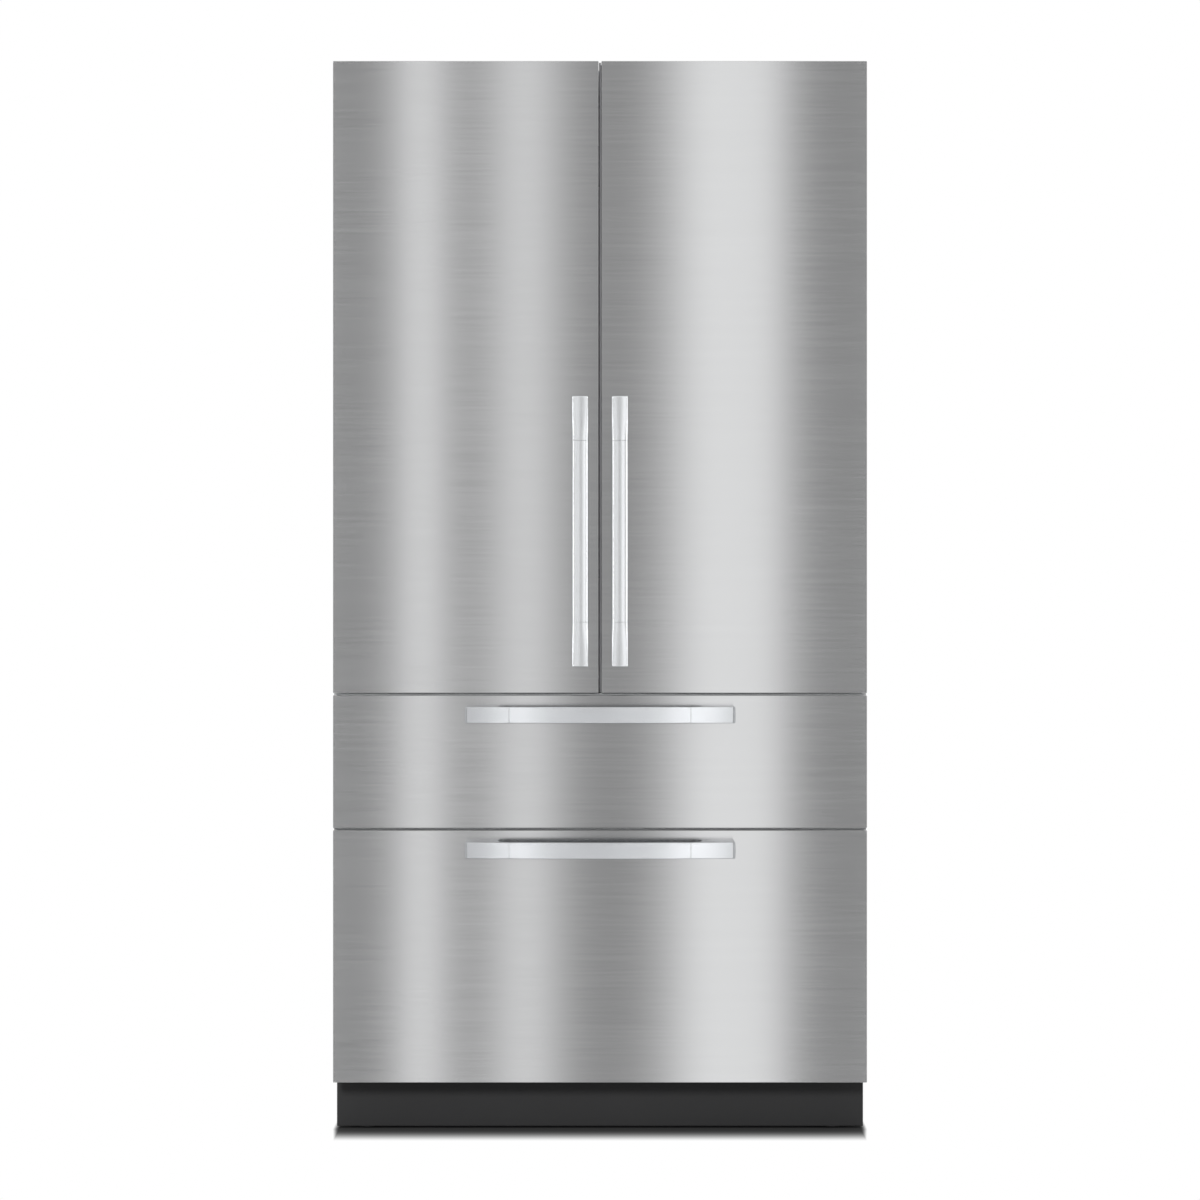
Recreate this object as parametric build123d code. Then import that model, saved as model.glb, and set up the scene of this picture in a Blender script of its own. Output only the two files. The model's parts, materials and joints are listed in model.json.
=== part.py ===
from build123d import *
import os
from math import asin, cos, degrees, radians, sin, sqrt, tan

# Built in french door refrigerator with two drawers, in millimetres.
# Origin at floor level, midway across the width and midway through the depth.
# Doors face the negative Y side, Z is up.

# Overall size
overall_width = 1060.0
overall_height = 2134.0
overall_depth = 670.0

# Front panels
toe_height = 106.0
lower_panel_height = 501.5
upper_panel_height = 265.0
stack_gap = 3.0
door_gap = 4.0
panel_thickness = 20.0
panel_sheet = 1.2
panel_edge_radius = 1.6
core_fit = 0.3

# Insulated bodies behind the panels
body_thickness = 52.0
body_side_inset = 2.0
body_edge_chamfer = 4.0
door_top_inset = 22.0
door_bottom_inset = 10.0
drawer_front_inset = 6.0
plug_depth = 14.0
plug_margin = 12.0

# Magnetic gaskets
gasket_space = 12.0
gasket_width = 14.0
gasket_rest_gap = 0.3
gasket_chamfer = 2.0
gasket_base_depth = 4.0
gasket_base_inset = 2.5
gasket_hinge_inset = 18.0
gasket_free_inset = 4.0
gasket_edge_inset = 4.0

# Straight steps that stand for a quarter turn on moulded corners
corner_steps = 3

# Cabinet shell and insulation
cabinet_side_step = 1.0
cabinet_top_step = 3.0
steel = 1.0
liner_wall = 2.0
liner_corner = 12.0
side_foam = 42.0
top_foam = 42.0
back_foam = 50.0
rail_height = 60.0
rail_return = 14.0
rail_lap = 1.0
back_flange = 15.0
cabinet_floor_z = 100.0
bottom_rail_height = 36.0
shell_bottom_z = 24.0

# Machine compartment at the lower back
machine_depth = 190.0
machine_top_z = 290.0
machine_floor_z = 50.0
base_sheet = 2.0

# Toe kick
toe_recess = 70.0
toe_depth = 14.0
toe_sheet = 1.2
toe_bottom_z = 6.0
toe_top_gap = 3.0

# Handles
handle_reach = 60.0
handle_length = 533.0
handle_width = 32.0
handle_bow = 12.0
handle_bar_depth = 13.0
handle_seam_gap = 0.3
handle_bar_length = 357.0
handle_foot_curve = 21.0
handle_foot_taper = 3.0
handle_edge_radius = 1.6
door_handle_offset = 39.2
door_handle_z = 1199.0
upper_handle_drop = 37.7
lower_handle_drop = 36.2

# Door hinges
pivot_inset = 18.0
pivot_setback = 40.0
hinge_plate = 4.0
hinge_plate_gap = 2.0
hinge_nose_radius = 12.0
hinge_arm_low = 8.0
hinge_arm_high = 30.0
hinge_flange_height = 17.0
pin_radius = 6.0
pin_length = 20.0
pin_clearance = 0.06
bore_extra = 4.0

# Door liners and bins
liner_plate = 2.5
dyke_inset = 8.0
dyke_width = 24.0
dyke_reach = 26.0
dyke_taper = 6.0
dyke_corner = 16.0
dyke_free_inset = 50.0
bin_depth = 96.0
bin_wall = 2.5
bin_corner = 16.0
bin_end_gap = 9.0
bin_wall_gap = 0.5
bin_rest_gap = 0.3
bin_lug_size = 12.0
bin_lug_reach = 8.0
hook_end_gap = 2.0
low_bin_height = 130.0
middle_bin_height = 105.0
high_bin_height = 90.0
left_low_bin_drop = 863.0
left_middle_bin_drop = 578.0
left_high_bin_drop = 293.0
right_low_bin_drop = 898.0
right_middle_bin_drop = 613.0
right_high_bin_drop = 328.0

# Flip mullion between the doors
mullion_width = 50.0
mullion_thickness = 19.0
mullion_pivot_x = -33.0
mullion_pivot_back = 9.0
mullion_pivot_side = 9.0
mullion_bottom_gap = 8.0
mullion_top_gap = 18.0
mullion_edge_chamfer = 3.0
knuckle_radius = 7.0
knuckle_height = 40.0
knuckle_end_inset = 90.0
knuckle_pin_radius = 3.0
knuckle_pin_length = 9.0
lug_height = 12.0
lug_gap = 0.5
lug_root_lap = 1.0
cam_radius = 4.0
cam_arm = 34.0
cam_length = 12.0
cam_clearance = 2.5
cam_drift = 10.0
guide_drop = 14.0
guide_wall = 6.0

# Telescopic slides
slide_back_gap = 41.0
slide_front_gap = 12.0
slide_sheet = 1.4
slide_gap = 0.6
slide_outer_half = 22.5
slide_middle_half = 19.5
slide_inner_half = 16.0
slide_flange = 9.6
upper_slide_z = 690.0
lower_slide_z = 385.0

# Drawer frames and bins
frame_sheet = 1.5
frame_flange = 13.0
upper_frame_height = 66.0
upper_frame_back_gap = 47.0
upper_bin_height = 150.0
upper_bin_back_gap = 58.7
drawer_bin_gap = 2.0
drawer_bin_wall = 2.5
drawer_bin_corner = 26.0
drawer_bin_taper = 2.0
bin_lip = 8.0
bin_lip_height = 4.0
lower_frame_step_gap = 1.0
lower_frame_back_gap = 77.0
lower_frame_low_z = 360.0
bin_flange_z = 430.0
tray_flange_z = 521.5
frame_arm_height = 22.0
freezer_bin_height = 280.0
freezer_bin_step_gap = 10.7
tray_height = 78.0
tray_travel = 95.0
tray_stop_gap = 4.0
tray_front_gap = 14.0
flange_bin_gap = 3.0

# Crisper drawers
crisper_height = 192.0
crisper_setback = 136.0
crisper_back_gap = 15.0
crisper_wall = 2.5
crisper_corner = 14.0
crisper_taper = 1.5
crisper_side_gap = 14.0
crisper_centre_gap = 6.0
crisper_runner = 4.0
crisper_lip = 8.0
crisper_lip_height = 14.0

# Shelves and their tracks
ledge_reach = 12.0
ledge_height = 10.0
cover_z = 1112.0
cover_thickness = 16.0
cover_border = 22.0
shelf_thickness = 14.0
shelf_border = 16.0
glass_thickness = 4.0
glass_rebate = 8.0
glass_gap = 0.2
shelf_setback = 106.0
shelf_centre_gap = 12.0
shelf_nose_chamfer = 5.0
track_width = 16.0
track_depth = 10.0
track_sheet = 1.5
track_lift = 258.0
track_top_gap = 90.0
track_slots = 9
track_slot_height = 14.0
track_slot_width = 5.0
track_end = 15.0
track_centre_x = 22.0
track_side_gap = 22.0
arm_sheet = 3.0
arm_tip_height = 14.0
arm_heel_drop = 20.0
hook_height = 10.0
hook_depth = 6.0
left_shelf_slots = (2, 5)
right_shelf_slots = (1, 4, 7)

# Evaporators, their covers and fans
cover_wall = 2.5
fridge_cover_half = 300.0
fridge_cover_height = 158.0
fridge_cover_depth = 77.0
freezer_cover_half = 380.0
freezer_cover_height = 222.0
freezer_cover_depth = 68.0
cover_top_gap = 3.0
cover_corner = 12.0
coil_depth = 28.0
coil_back_gap = 0.0
coil_margin = 14.0
fin_thickness = 1.4
cold_fin_pitch = 60.0
condenser_fin_pitch = 20.0
coil_web = 4.0
tube_radius = 4.0
tube_pitch = 44.0
tube_stub = 8.0
end_plate = 2.0
cold_fan_radius = 44.0
fan_hole_gap = 5.0
fan_hub_radius = 13.0
fan_hub_depth = 14.0
hub_sides = 12
fan_blade_sheet = 1.6
fan_blade_rise = 11.0
fan_chord_share = 0.45
cold_fan_blades = 4
condenser_fan_blades = 5
fan_shaft_radius = 3.0
fan_shaft_clearance = 0.06
fan_shaft_length = 14.0
motor_radius = 17.0
motor_depth = 16.0
motor_gap = 0.6
mount_bar = 10.0
mount_sheet = 2.5
outlet_slot_height = 10.0
outlet_slot_pitch = 26.0

# Machine compartment contents
compressor_side_gap = 223.0
compressor_radius = 74.0
compressor_height = 168.0
compressor_seam = 3.0
shell_sides = 20
grommet_radius = 12.0
grommet_height = 10.0
grommet_sides = 8
foot_plate = 3.0
foot_span_x = 190.0
foot_span_y = 120.0
shell_shoulder = 18.5
shell_dome_drop = 37.0
terminal_offset = 66.6
terminal_width = 37.0
terminal_depth = 49.4
terminal_low = 42.0
terminal_high = 109.2
stub_offset = 47.6
condenser_x0 = 130.0
condenser_length = 290.0
condenser_height = 176.0
condenser_lift = 14.0
condenser_fan_radius = 66.0
shroud_sheet = 2.5
shroud_x = 104.0
fan_set_in = 16.0
pan_wall = 2.0
pan_height = 30.0
pan_x1 = 40.0
pan_margin = 18.0
louvre_count = 5
louvre_pitch = 26.0
louvre_length = 150.0
louvre_height = 8.0
louvre_depth = 6.0
louvre_x = 250.0
louvre_low_z = 120.0

# Water and power inlets
inlet_side_gap = 89.0
valve_z = 120.0
valve_width = 46.0
valve_height = 60.0
valve_depth = 40.0
valve_thread_radius = 13.2
valve_thread_length = 14.0
valve_bore_radius = 8.0
valve_window_gap = 10.0
valve_body_half = 10.0
coil_half_width = 13.8
coil_case_depth = 24.0
valve_foot_half = 16.1
valve_sole_depth = 20.0
power_z = 220.0
power_width = 30.0
power_height = 24.0
power_depth = 30.0
power_recess = 16.0
power_wall = 3.0
blade_thickness = 2.0
blade_height = 4.0
blade_spread = 7.5
blade_rise = 3.0

# Feet and rollers
leg_side_gap = 58.0
leg_front_gap = 30.0
leg_pad_radius = 22.0
leg_pad_height = 10.0
leg_pad_sides = 16
stud_radius = 8.0
stud_clearance = 0.06
stud_top_z = 62.0
nut_radius = 15.0
nut_height = 16.0
nut_bottom_z = 40.0
roller_side_gap = 50.0
roller_back_gap = 44.0
roller_radius = 22.0
roller_width = 24.0
wheel_sides = 24
roller_gap = 0.8
axle_radius = 5.0
axle_clearance = 0.06
bracket_sheet = 3.0
bracket_half = 18.0
bracket_low_z = 13.0
bracket_chamfer = 6.0

# Base frame
channel_width = 22.0
channel_sheet = 2.0
front_channel_depth = 60.0

# Lights and control panel
light_depth = 12.0
light_thickness = 4.0
light_setback = 41.0
ceiling_light_x0 = 70.0
ceiling_light_x1 = 340.0
side_light_lift = 313.0
side_light_drop = 126.0
control_half = 110.0
control_setback = 83.0
control_depth = 52.0
control_thickness = 8.0

# Planes worked out from the sizes above
half_width = overall_width / 2
front_y = -overall_depth / 2
back_y = overall_depth / 2
panel_front_y = front_y + handle_reach
panel_back_y = panel_front_y + panel_thickness
body_back_y = panel_back_y + body_thickness
cabinet_front_y = body_back_y + gasket_space
face_y = cabinet_front_y + steel
inner_back_y = back_y - steel
liner_back_y = inner_back_y - back_foam - liner_wall

lower_z0 = toe_height
lower_z1 = lower_z0 + lower_panel_height
upper_z0 = lower_z1 + stack_gap
upper_z1 = upper_z0 + upper_panel_height
door_z0 = upper_z1 + stack_gap
door_z1 = overall_height

cabinet_half = half_width - cabinet_side_step
cabinet_top_z = overall_height - cabinet_top_step
foam_half = cabinet_half - steel
foam_top_z = cabinet_top_z - steel
room_half = foam_half - side_foam - liner_wall

lower_rail_z = (lower_z1 + upper_z0) / 2
upper_rail_z = (upper_z1 + door_z0) / 2
fridge_z0 = upper_rail_z + rail_height / 2
fridge_z1 = foam_top_z - top_foam - liner_wall
chill_z0 = lower_rail_z + rail_height / 2
chill_z1 = upper_rail_z - rail_height / 2
freezer_z0 = cabinet_floor_z + bottom_rail_height
freezer_z1 = lower_rail_z - rail_height / 2

machine_front_y = inner_back_y + steel - machine_depth
step_y = machine_front_y - steel - side_foam - liner_wall
step_z = machine_top_z + steel + side_foam + liner_wall

pivot_x = half_width - pivot_inset
pivot_y = panel_front_y + pivot_setback
mullion_pivot_y = cabinet_front_y + mullion_pivot_back

# Places that keep their gap to the walls when a size changes
bin_heights = (low_bin_height, middle_bin_height, high_bin_height)
bin_top_z = fridge_z1 - dyke_inset
left_bin_drops = (left_low_bin_drop, left_middle_bin_drop, left_high_bin_drop)
right_bin_drops = (right_low_bin_drop, right_middle_bin_drop, right_high_bin_drop)
left_bin_levels = [bin_top_z - drop for drop in left_bin_drops]
right_bin_levels = [bin_top_z - drop for drop in right_bin_drops]
slide_start_y = cabinet_front_y + slide_front_gap
slide_end_y = liner_back_y - slide_back_gap
crisper_front_y = cabinet_front_y + crisper_setback
crisper_end_y = liner_back_y - crisper_back_gap
shelf_front_y = cabinet_front_y + shelf_setback
light_y = cabinet_front_y + light_setback
control_front_y = cabinet_front_y + control_setback
side_light_low_z = fridge_z0 + side_light_lift
side_light_high_z = fridge_z1 - side_light_drop
track_side_x = room_half - track_side_gap
leg_x = foam_half - leg_side_gap
leg_y = face_y + leg_front_gap
roller_x = foam_half - roller_side_gap
roller_y = inner_back_y - roller_back_gap
inlet_x = inlet_side_gap - cabinet_half
compressor_x = compressor_side_gap - foam_half
pan_x0 = compressor_x + foot_span_x / 2

# Air covers at the top of two rooms, and the shelf tracks below the upper one
fridge_cover_z1 = fridge_z1 - cover_top_gap
fridge_cover_z0 = fridge_cover_z1 - fridge_cover_height
fridge_fan_z = (fridge_cover_z0 + fridge_cover_z1) / 2
freezer_cover_z1 = freezer_z1 - cover_top_gap
freezer_cover_z0 = freezer_cover_z1 - freezer_cover_height
freezer_fan_z = (freezer_cover_z0 + freezer_cover_z1) / 2
track_bottom_z = fridge_z0 + track_lift
track_top_z = fridge_cover_z0 - track_top_gap
track_pitch = (track_top_z - track_bottom_z - 2 * track_end) / (track_slots - 1)


# Basic shapes
def block(x0, x1, y0, y1, z0, z1):
    centre = Pos((x0 + x1) / 2, (y0 + y1) / 2, (z0 + z1) / 2)
    return centre * Box(abs(x1 - x0), abs(y1 - y0), abs(z1 - z0))


def prism(points, start, end, axis):
    # The points lie in the plane across the axis, as (y, z), (x, z) or (x, y).
    length = end - start
    if axis == "x":
        corners = [(start, a, b) for a, b in points]
        direction = Vector(length, 0, 0)
    elif axis == "y":
        corners = [(a, start, b) for a, b in points]
        direction = Vector(0, length, 0)
    else:
        corners = [(a, b, start) for a, b in points]
        direction = Vector(0, 0, length)
    face = Face(Wire.make_polygon([Vector(*c) for c in corners], close=True))
    return Solid.extrude(face, direction)


def rod(x, y, z0, z1, radius):
    return Pos(x, y, (z0 + z1) / 2) * Cylinder(radius, abs(z1 - z0))


def rod_y(x, z, y0, y1, radius):
    return Pos(x, (y0 + y1) / 2, z) * Rot(90, 0, 0) * Cylinder(radius, abs(y1 - y0))


def rod_x(y, z, x0, x1, radius):
    return Pos((x0 + x1) / 2, y, z) * Rot(0, 90, 0) * Cylinder(radius, abs(x1 - x0))


def both_sides(shape):
    return [shape, mirror(shape, Plane.YZ)]


def save(name, *shapes):
    solids = []
    for shape in shapes:
        members = shape if isinstance(shape, list) else [shape]
        for member in members:
            solids.extend(member.solids())
    export_step(Compound(children=solids), f"parts/{name}.step")


# Rectangle whose corners, counted round from the low one, are rounded in short straight steps
def rounded_points(x0, x1, y0, y1, radii):
    places = ((x0, y0, 1, 1), (x1, y0, -1, 1), (x1, y1, -1, -1), (x0, y1, 1, -1))
    points = []
    for index, (x, y, sx, sy) in enumerate(places):
        r = radii[index]
        if r == 0:
            points.append((x, y))
            continue
        for step in range(corner_steps + 1):
            turn = radians(180 + 90 * (index + step / corner_steps))
            points.append((x + sx * r + r * cos(turn), y + sy * r + r * sin(turn)))
    return points


# Round bar in plain facets, for pieces that nothing turns on
def facet_bar(a, b, radius, start, end, axis, sides):
    turns = [radians(360 * (index + 0.5) / sides) for index in range(sides)]
    return prism([(a + radius * cos(turn), b + radius * sin(turn)) for turn in turns], start, end, axis)


# Rounded block that is drawn in by its taper on the way from start to end
def tapered_block(x0, x1, y0, y1, radius, start, end, axis, taper):
    d = abs(end - start) * tan(radians(taper))
    wide = rounded_points(x0, x1, y0, y1, (radius,) * 4)
    narrow = rounded_points(x0 + d, x1 - d, y0 + d, y1 - d, (radius - d,) * 4)
    if axis == "z":
        low = [Vector(a, b, start) for a, b in wide]
        high = [Vector(a, b, end) for a, b in narrow]
    else:
        low = [Vector(a, start, b) for a, b in wide]
        high = [Vector(a, end, b) for a, b in narrow]
    faces = [Face(Wire.make_polygon(ring, close=True)) for ring in (low, high)]
    for index in range(len(low)):
        corners = [low[index - 1], low[index], high[index], high[index - 1]]
        faces.append(Face(Wire.make_polygon(corners, close=True)))
    return Solid(Shell(faces))


# Tapered open container with a rim, narrowing towards the floor
def open_bin(x0, x1, y0, y1, z0, z1, wall, corner, taper, lip, lip_height):
    t = wall
    outer = tapered_block(x0, x1, y0, y1, corner, z1, z0, "z", taper)
    inner = tapered_block(x0 + t, x1 - t, y0 + t, y1 - t, corner - t, z1, z0 + t, "z", taper)
    if lip > 0:
        rim = rounded_points(x0 - lip, x1 + lip, y0, y1, (corner,) * 4)
        outer = outer + prism(rim, z1 - lip_height, z1, "z")
    return outer - inner


# Stainless front panel, a pan with returned edges
def front_panel(x0, x1, z0, z1):
    shape = block(x0, x1, panel_front_y, panel_back_y, z0, z1)
    front_edges = shape.faces().sort_by(Axis.Y)[0].edges()
    shape = fillet(front_edges, panel_edge_radius)
    t = panel_sheet
    return shape - block(x0 + t, x1 - t, panel_front_y + t, panel_back_y, z0 + t, z1 - t)


# Foamed body that carries a panel, with the core that fills the panel
def insulated_body(panel, body):
    x0, x1, z0, z1 = body
    shape = block(x0, x1, panel_back_y, body_back_y, z0, z1)
    back_edges = shape.faces().sort_by(Axis.Y)[-1].edges()
    shape = chamfer(back_edges, body_edge_chamfer)
    inset = panel_sheet + core_fit
    px0, px1, pz0, pz1 = panel
    core_front = panel_front_y + panel_sheet
    core = block(px0 + inset, px1 - inset, core_front, panel_back_y, pz0 + inset, pz1 - inset)
    return shape + core


# Magnetic gasket ring, a narrow base and a wider cushion
def gasket_ring(x0, x1, z0, z1):
    w = gasket_width
    split = body_back_y + gasket_base_depth
    tip = cabinet_front_y - gasket_rest_gap
    cushion = block(x0, x1, split, tip, z0, z1) - block(x0 + w, x1 - w, split, tip, z0 + w, z1 - w)
    cushion = chamfer(cushion.faces().sort_by(Axis.Y)[-1].edges(), gasket_chamfer)
    i = gasket_base_inset
    outer = block(x0 + i, x1 - i, body_back_y, split, z0 + i, z1 - i)
    j = w - i
    inner = block(x0 + j, x1 - j, body_back_y, split, z0 + j, z1 - j)
    return cushion + (outer - inner)


# Three piece bow handle, built along X with the panel plane at y = 0
def bow_handle():
    half = handle_length / 2
    seam = handle_bar_length / 2
    bow_radius = (half**2 + handle_bow**2) / (2 * handle_bow)
    centre_y = bow_radius - handle_reach
    inner_radius = bow_radius - handle_bar_depth

    def front(x):
        return centre_y - sqrt(bow_radius**2 - x**2)

    def rear(x):
        return centre_y - sqrt(inner_radius**2 - x**2)

    def carry(edges):
        face = Face(Wire(edges))
        solid = Pos(0, 0, -handle_width / 2) * Solid.extrude(face, Vector(0, 0, handle_width))
        long_edges = [e for e in solid.edges() if e.geom_type == GeomType.CIRCLE and e.center().Y < front(half)]
        return chamfer(long_edges, handle_edge_radius)

    bar = carry(
        [
            Edge.make_three_point_arc((-seam, front(seam)), (0, front(0)), (seam, front(seam))),
            Edge.make_line((seam, front(seam)), (seam, rear(seam))),
            Edge.make_three_point_arc((seam, rear(seam)), (0, rear(0)), (-seam, rear(seam))),
            Edge.make_line((-seam, rear(seam)), (-seam, front(seam))),
        ]
    )
    root_x = seam + handle_seam_gap
    r = handle_foot_curve
    corner = (root_x + r * sin(radians(45)), rear(root_x) + r * (1 - cos(radians(45))))
    neck = (root_x + r, rear(root_x) + r)
    foot_in = (neck[0] + handle_foot_taper, 0)
    middle = (root_x + half) / 2
    foot = carry(
        [
            Edge.make_three_point_arc((root_x, front(root_x)), (middle, front(middle)), (half, front(half))),
            Edge.make_line((half, front(half)), (half, 0)),
            Edge.make_line((half, 0), foot_in),
            Edge.make_line(foot_in, neck),
            Edge.make_three_point_arc(neck, corner, (root_x, rear(root_x))),
            Edge.make_line((root_x, rear(root_x)), (root_x, front(root_x))),
        ]
    )
    return [bar, *both_sides(foot)]


def placed_handle(x, z, upright):
    turn = Rot(0, 90, 0) if upright else Rot(0, 0, 0)
    return [Pos(x, panel_front_y, z) * turn * piece for piece in bow_handle()]


# Outlines of the four fronts
door_panel = (door_gap / 2, half_width, door_z0, door_z1)
door_body = (
    door_gap / 2 + body_side_inset,
    half_width - body_side_inset,
    door_z0 + door_bottom_inset,
    door_z1 - door_top_inset,
)
upper_panel = (-half_width, half_width, upper_z0, upper_z1)
lower_panel = (-half_width, half_width, lower_z0, lower_z1)


def drawer_body(panel):
    side = half_width - body_side_inset
    return (-side, side, panel[2] + drawer_front_inset, panel[3] - drawer_front_inset)


# Right door pieces, which the left door mirrors
def door_core():
    shape = insulated_body(door_panel, door_body)
    depth = pin_length + bore_extra
    radius = pin_radius + pin_clearance
    low = rod(pivot_x, pivot_y, door_body[2], door_body[2] + depth, radius)
    high = rod(pivot_x, pivot_y, door_body[3] - depth, door_body[3], radius)
    return shape - low - high


door_dyke = (
    dyke_free_inset,
    room_half - dyke_inset,
    fridge_z0 + dyke_inset,
    fridge_z1 - dyke_inset,
)
dyke_top_y = cabinet_front_y + dyke_reach
dyke_base_y = body_back_y + liner_plate


def bin_span(levels, index):
    z0 = levels[index]
    return z0, z0 + bin_heights[index]


def door_liner(levels):
    x0, x1, z0, z1 = door_dyke
    w = dyke_width
    outer = tapered_block(x0, x1, z0, z1, dyke_corner, dyke_base_y, dyke_top_y, "y", dyke_taper)
    v = w - (dyke_top_y - dyke_base_y) * tan(radians(dyke_taper))
    inner = tapered_block(x0 + v, x1 - v, z0 + v, z1 - v, dyke_corner, dyke_top_y, dyke_base_y, "y", dyke_taper)
    shape = outer - inner
    shape = shape + block(x0, x1, body_back_y, dyke_base_y, z0, z1)
    for index in range(len(levels)):
        level = bin_span(levels, index)[0]
        y1 = dyke_base_y + bin_lug_size
        top = level + bin_lug_size
        for start, end in ((x0 + w / 2, x0 + w + bin_lug_reach), (x1 - w - bin_lug_reach, x1 - w / 2)):
            shape = shape + block(start, end, dyke_base_y, y1, level, top)
    return shape


# Door bin that hangs on the lugs of the liner by its end hooks
def door_bin(levels, index):
    x0, x1 = door_dyke[0] + dyke_width, door_dyke[1] - dyke_width
    z0, z1 = bin_span(levels, index)
    y0 = dyke_base_y + bin_wall_gap
    y1 = y0 + bin_depth
    a, b = x0 + bin_end_gap + bin_lug_reach, x1 - bin_end_gap - bin_lug_reach
    t, r = bin_wall, bin_corner
    outer = prism(rounded_points(a, b, y0, y1, (0, 0, r, r)), z0, z1, "z")
    hollow = rounded_points(a + t, b - t, y0 + t, y1 - t, (0, 0, r - t, r - t))
    shape = outer - prism(hollow, z0 + t, z1, "z")
    hook_low = z0 + bin_lug_size + bin_rest_gap
    g = hook_end_gap
    for start, end in ((x0 + g, a), (b, x1 - g)):
        shape = shape + block(start, end, y0, y0 + bin_lug_size, hook_low, hook_low + bin_lug_size)
    return shape


def door_gasket():
    x0, x1, z0, z1 = door_body
    return gasket_ring(
        x0 + gasket_free_inset,
        x1 - gasket_hinge_inset,
        z0 + gasket_edge_inset,
        z1 - gasket_edge_inset,
    )


def drawer_gasket(panel):
    x0, x1, z0, z1 = drawer_body(panel)
    i = gasket_edge_inset
    return gasket_ring(x0 + i, x1 - i, z0 + i, z1 - i)


# Drawer front with the plug that closes the compartment
def drawer_core(panel, opening):
    shape = insulated_body(panel, drawer_body(panel))
    half = room_half - plug_margin - frame_flange - slide_stack()
    z0, z1 = opening[0] + plug_margin, opening[1] - plug_margin
    plug = block(-half, half, body_back_y, body_back_y + plug_depth, z0, z1)
    plug = chamfer(plug.faces().sort_by(Axis.Y)[-1].edges(), body_edge_chamfer)
    return shape + plug


# Knife hinge bracket: nose round the pivot, arm, face flange and pin
def hinge_bracket(plate_z0, flange_z0, flange_z1, pin_up, body_face_z):
    plate_z1 = plate_z0 + hinge_plate
    x_out, x_in = pivot_x + hinge_arm_low, pivot_x - hinge_arm_high
    nose = facet_bar(pivot_x, pivot_y, hinge_nose_radius, plate_z0, plate_z1, "z", hub_sides)
    outline = [
        (pivot_x, pivot_y - hinge_nose_radius),
        (x_in, pivot_y + hinge_nose_radius),
        (x_in, cabinet_front_y),
        (x_out, cabinet_front_y),
        (x_out, pivot_y),
    ]
    shape = nose + prism(outline, plate_z0, plate_z1, "z")
    back = cabinet_front_y - hinge_plate
    shape = shape + block(x_in, x_out, back, cabinet_front_y, flange_z0, flange_z1)
    if pin_up:
        return shape + rod(pivot_x, pivot_y, plate_z1, body_face_z + pin_length, pin_radius)
    return shape + rod(pivot_x, pivot_y, body_face_z - pin_length, plate_z0, pin_radius)


def hinge_brackets():
    top_plate = door_body[3] + hinge_plate_gap
    top = hinge_bracket(top_plate, top_plate, cabinet_top_z, False, door_body[3])
    low_plate = door_body[2] - hinge_plate_gap - hinge_plate
    low_top = low_plate + hinge_plate
    low = hinge_bracket(low_plate, low_top - hinge_flange_height, low_top, True, door_body[2])
    return both_sides(top) + both_sides(low)


# Flip mullion, drawn folded back along the edge of the left door
mullion_z0 = fridge_z0 + mullion_bottom_gap
mullion_z1 = fridge_z1 - mullion_top_gap


# Each end knuckle as its level, the side its pin leaves on and the lug that holds that pin
def knuckles():
    low = mullion_z0 + knuckle_end_inset
    high = mullion_z1 - knuckle_end_inset
    return ((low, low + knuckle_height, low, -1), (high - knuckle_height, high, high, 1))


def flip_mullion():
    face_x = mullion_pivot_x + mullion_pivot_back
    y0 = mullion_pivot_y + mullion_pivot_side
    y1 = y0 + mullion_width
    shape = block(face_x - mullion_thickness, face_x, y0, y1, mullion_z0, mullion_z1)
    shape = chamfer(shape.edges().filter_by(Axis.Z), mullion_edge_chamfer)
    for low, high, end, way in knuckles():
        shape = shape + facet_bar(mullion_pivot_x, mullion_pivot_y, knuckle_radius, low, high, "z", hub_sides)
        web = (mullion_pivot_x - knuckle_pin_radius, mullion_pivot_x + knuckle_pin_radius)
        shape = shape + block(*web, mullion_pivot_y, y0 + mullion_edge_chamfer, low, high)
        tip = end + way * knuckle_pin_length
        shape = shape + rod(mullion_pivot_x, mullion_pivot_y, end, tip, knuckle_pin_radius)
    cam_y = mullion_pivot_y + cam_arm
    return shape + rod(mullion_pivot_x, cam_y, mullion_z1, mullion_z1 + cam_length, cam_radius)


def mullion_lugs():
    bore = knuckle_pin_radius + pin_clearance
    x_root = -dyke_free_inset - lug_root_lap / cos(radians(dyke_taper))
    lugs = []
    half = knuckle_radius
    for low, high, end, way in knuckles():
        z0 = end + way * lug_gap
        z1 = z0 + way * lug_height
        lug = facet_bar(mullion_pivot_x, mullion_pivot_y, half, z0, z1, "z", hub_sides)
        y0, y1 = mullion_pivot_y - half, mullion_pivot_y + half
        lug = lug + block(x_root - dyke_width / 2, mullion_pivot_x, y0, y1, z0, z1)
        lugs.append(lug - rod(mullion_pivot_x, mullion_pivot_y, z0, z1, bore))
    return lugs


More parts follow.
